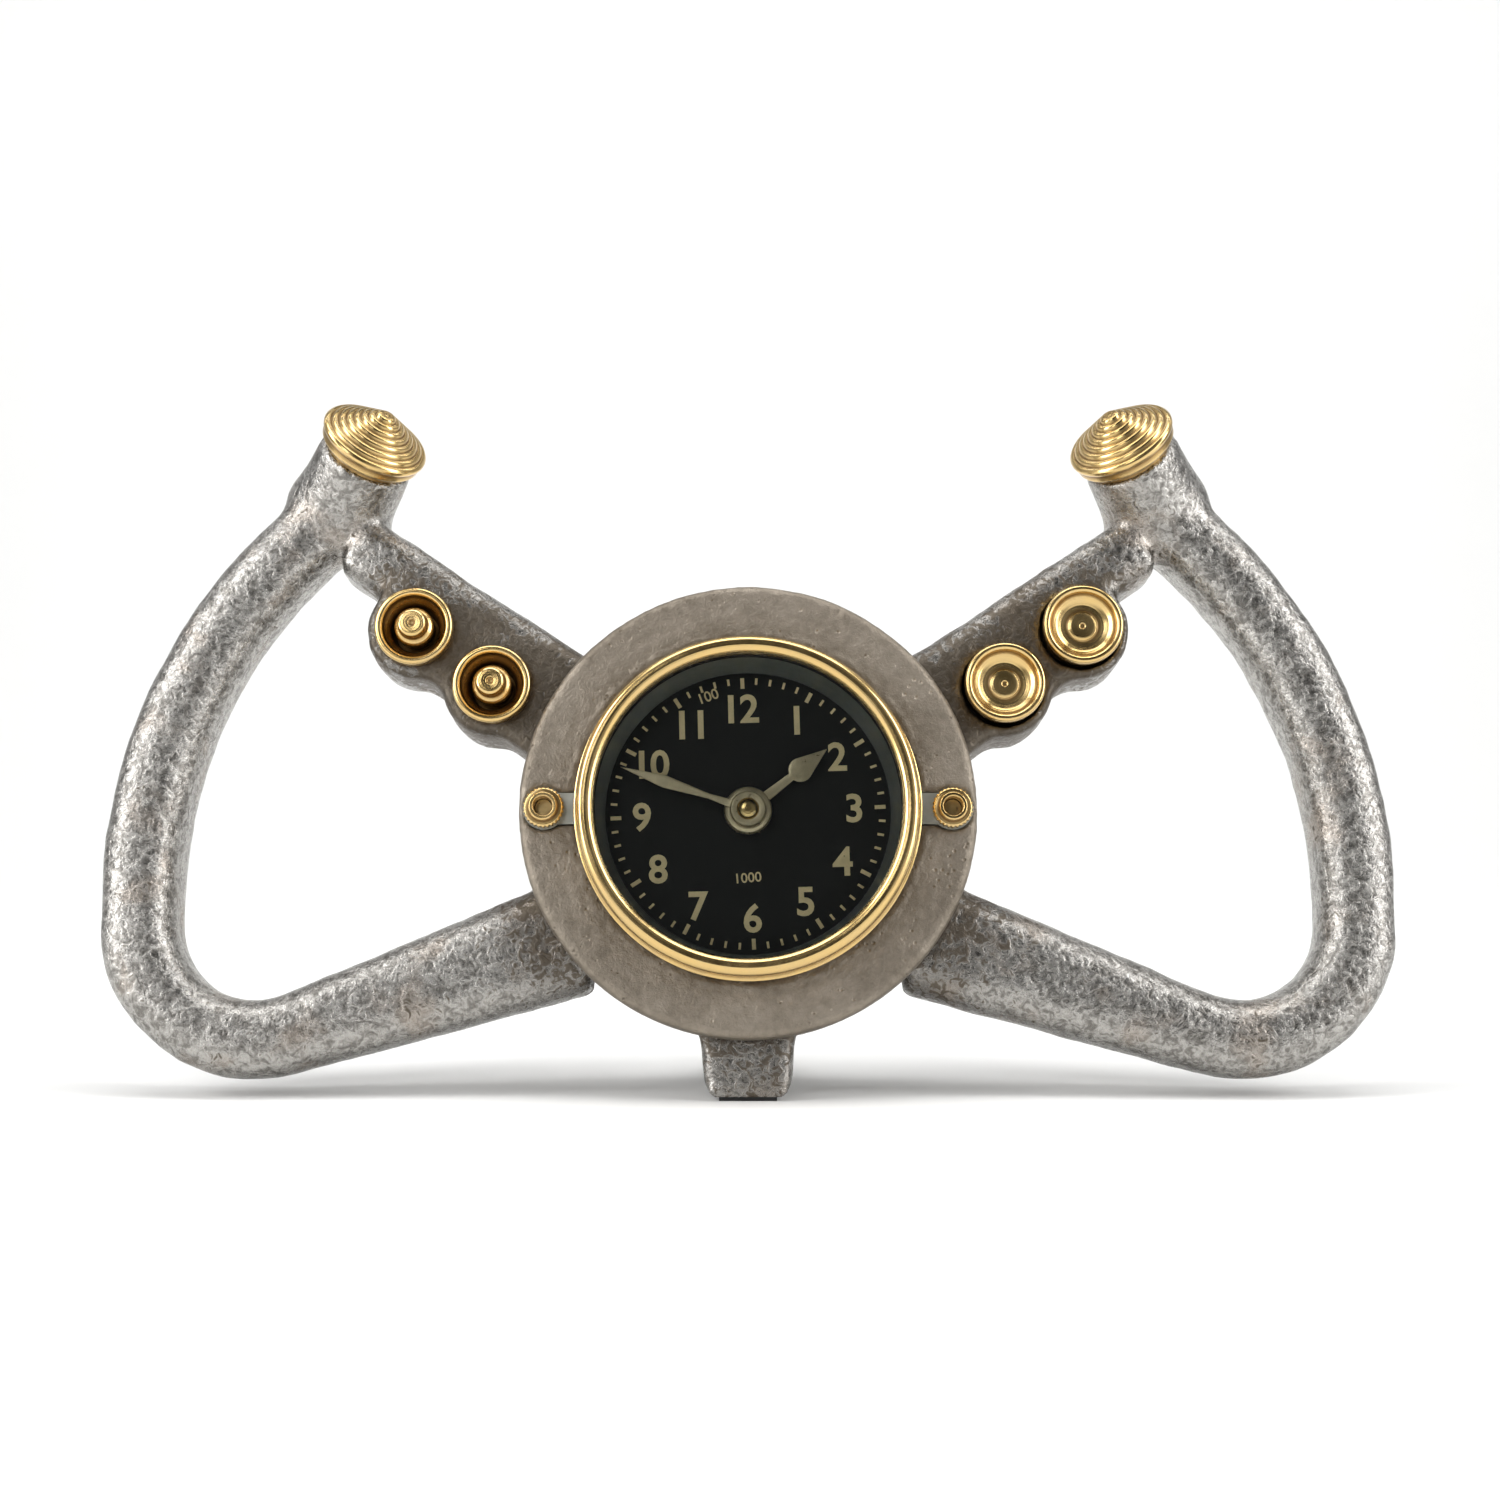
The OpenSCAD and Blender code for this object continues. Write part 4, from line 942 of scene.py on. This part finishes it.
class LeftButtonsOperator(bpy.types.Operator):
    """Turns the left pair of brass cups and their plungers"""
    bl_idname = "yoke.left_buttons"
    bl_label = "Cups and plungers"

    def execute(self, context):
        cup = [(2.56, 12.5), (5.3, 12.5), (5.65, 7.4), (6.0, 6.6), (6.5, 6.0), (7.2, 5.2), (7.55, 4.4)]
        cup += arc((8.5, 4.2), 1.0, 190, 360, 12) + [
            (9.5, 5.0), (9.2, 5.3), (9.4, 5.7), (9.4, 6.5), (7.8, 6.5), (7.8, 15.1), (2.56, 15.1)]
        plunger = [(0, 0.75), (0.55, 0.75), (0.8, 0.5), (1.0, 0.22), (2.7, 0.22), (3.2, 0.5), (3.35, 0.9),
                   (3.35, 3.0), (3.6, 3.5), (4.4, 4.1), (4.7, 4.7), (4.7, 9.2), (2.5, 9.2), (2.5, 15.15),
                   (1.9, 15.15), (1.9, 15.95), (2.5, 15.95), (2.5, 16.95), (0, 16.95)]
        cups = bmesh.new()
        cups.verts.layers.float.new("along")
        cups.verts.layers.float.new("groove")
        for which in ("outer", "inner"):
            place = button_place(which + "_plunger")
            one = to_mesh("cup", spun(cup, closed=True, edge=0.12 * MM, grooves=(
                (7.4, 4.8, 0.9), (5.6, 7.5, 2.4), (9.2, 5.3, 0.6), (9.5, 6.5, 0.8), (5.3, 12.5, 5.0))), place)
            cups.from_mesh(one)
            body = which + "_plunger"
            stem = spun(plunger, edge=0.14 * MM, grooves=(
                (0.5, 0.75, 0.55), (3.4, 3.2, 0.8), (4.7, 5.6, 1.6)))
            settle("brass_plunger_" + which, to_mesh("plunger", stem, place), "turned_brass", body,
                   ("plunger_" + which,))
        settle("brass_cups", to_mesh("brass_cups", cups), "turned_brass",
               replaced=("button_cups",))
        return {"FINISHED"}


class RightButtonsOperator(bpy.types.Operator):
    """Turns the right pair of brass dishes"""
    bl_idname = "yoke.right_buttons"
    bl_label = "Dishes"

    def execute(self, context):
        dish = [(0, 4.15), (0.5, 4.15), (0.75, 3.9), (1.6, 3.88), (2.7, 3.9), (3.3, 4.05), (3.6, 4.3),
                (4.1, 4.42), (5.2, 4.3), (6.3, 3.9), (7.2, 3.2), (7.7, 2.6)]
        dish += arc((8.75, 2.4), 0.93, 190, 350, 10) + [
            (9.7, 3.1), (9.7, 3.8), (9.35, 4.0), (9.35, 7.8), (9.1, 8.0), (8.7, 8.0), (8.5, 5.6),
            (2.5, 5.9), (2.5, 15.05),
            (1.9, 15.05), (1.9, 15.85), (2.5, 15.85), (2.5, 16.85), (0, 16.85)]
        for which in ("outer", "inner"):
            bm = spun(dish, edge=0.13 * MM, grooves=((0.4, 4.2, 0.5), (3.9, 4.5, 0.7), (7.6, 2.8, 0.8)))
            settle("brass_dish_" + which, to_mesh("dish", bm, button_place(which + "_dish")),
                   "turned_brass", which + "_dish", ("dish_" + which,))
        return {"FINISHED"}


class KnobsOperator(bpy.types.Operator):
    """Turns the two stepped knobs on the horns"""
    bl_idname = "yoke.knobs"
    bl_label = "Horn knobs"

    def execute(self, context):
        s = sizes("brass")
        rim, skirt, cone = 13.2, 5.0, 7.6
        outline = [(0, 0), (10.6, 0), (10.6, 0.7), (10.9, 1.2), (12.0, 1.5), (12.5, 2.2), (12.55, 3.6),
                   (13.0, 4.2), (13.2, 4.6), (13.2, 5.2)]
        grooves = [(10.6, 0.4, 1.3), (12.5, 3.6, 0.6)]
        tread = (rim - 0.6) / (s.steps + 0.3)
        for k in range(s.steps):
            top = skirt + 0.55 + k * cone / s.steps
            outer = rim - 0.25 - k * tread
            outline += [(outer, top), (outer - 0.35, top + 0.28), (outer - tread * 0.72, top + 0.36),
                        (outer - tread * 0.8, top + 0.22)]
            grooves.append((outer - tread * 0.85, top + 0.25, 0.55))
        outline[-1] = (0.6, skirt + cone - 0.05)
        outline.append((0, skirt + cone))
        for side, name in ((-1, "left"), (1, "right")):
            bm = spun(outline, edge=0.1 * MM, grooves=grooves)
            settle(f"brass_knob_{name}", to_mesh("knob", bm, horn_place(side), crease=60), "turned_brass",
                   replaced=(name + "_knob",))
        return {"FINISHED"}


class RearOperator(bpy.types.Operator):
    """Rounds the edges of the pieces at the back: cover, screws, leg and setting knob"""
    bl_idname = "yoke.rear"
    bl_label = "Rear pieces"

    pieces = (
        ("back_plate", "rear_cover", 0.35, "machined_aluminium", ROOT, "cast_aluminium"),
        ("cover_screws", "hub_screws", 0.15, "bright_steel", ROOT, "steel"),
        ("rear_leg", "stand_leg", 0.6, "machined_aluminium", ROOT, "cast_aluminium"),
        ("leg_screws", "stand_screws", 0.15, "bright_steel", ROOT, "steel"),
        ("hand_setting_knob", "setting_knob", 0.2, "black_plastic", "setting_train", "black_plastic"),
    )

    def execute(self, context):
        for name, node, width, finish, body, slot in self.pieces:
            settle(name, to_mesh(name, softened(node, width * MM)), finish, body, (node,))
        return {"FINISHED"}


class FinishesOperator(bpy.types.Operator):
    """Gives every node that is kept as made its finish"""
    bl_idname = "yoke.finishes"
    bl_label = "Finishes"

    def execute(self, context):
        for finish, nodes in NODE_FINISHES.items():
            for node in nodes:
                mesh = frame["nodes"][node].data
                mesh.materials.clear()
                mesh.materials.append(finish_of(finish))
        return {"FINISHED"}


class YokeClockPanel(bpy.types.Panel):
    """Lists the sizes and the steps that build the clock"""
    bl_idname = "VIEW3D_PT_yoke_clock"
    bl_label = "Yoke Clock"
    bl_space_type = "VIEW_3D"
    bl_region_type = "UI"
    bl_category = "Yoke Clock"

    def draw(self, context):
        for name, group in GROUPS.items():
            box = self.layout.box()
            box.label(text=name.capitalize())
            for key in group.__annotations__:
                box.prop(sizes(name), key)
        for operator in OPERATORS:
            self.layout.operator(operator.bl_idname)


GROUPS = {"casting": CastingSizes, "brass": BrassSizes, "dial": DialSizes, "stage": StageSizes}
OPERATORS = (StageOperator, CastingOperator, RingOperator, BezelOperator, DialOperator, HandsOperator,
             ClampOperator, LeftButtonsOperator, RightButtonsOperator, KnobsOperator, RearOperator,
             FinishesOperator)


def register():
    for group in GROUPS.values():
        bpy.utils.register_class(group)
    for name, group in GROUPS.items():
        setattr(bpy.types.Scene, "yoke_clock_" + name, PointerProperty(type=group))
    for operator in OPERATORS:
        bpy.utils.register_class(operator)
    bpy.utils.register_class(YokeClockPanel)


def unregister():
    bpy.utils.unregister_class(YokeClockPanel)
    for operator in reversed(OPERATORS):
        bpy.utils.unregister_class(operator)
    for name, group in GROUPS.items():
        delattr(bpy.types.Scene, "yoke_clock_" + name)
        bpy.utils.unregister_class(group)


def main():
    register()
    for operator in OPERATORS:
        name = operator.bl_idname.split(".")[1]
        result = getattr(bpy.ops.yoke, name)()
        if result != {"FINISHED"}:
            raise RuntimeError(f"{operator.bl_label} did not finish")


if __name__ == "__main__":
    main()
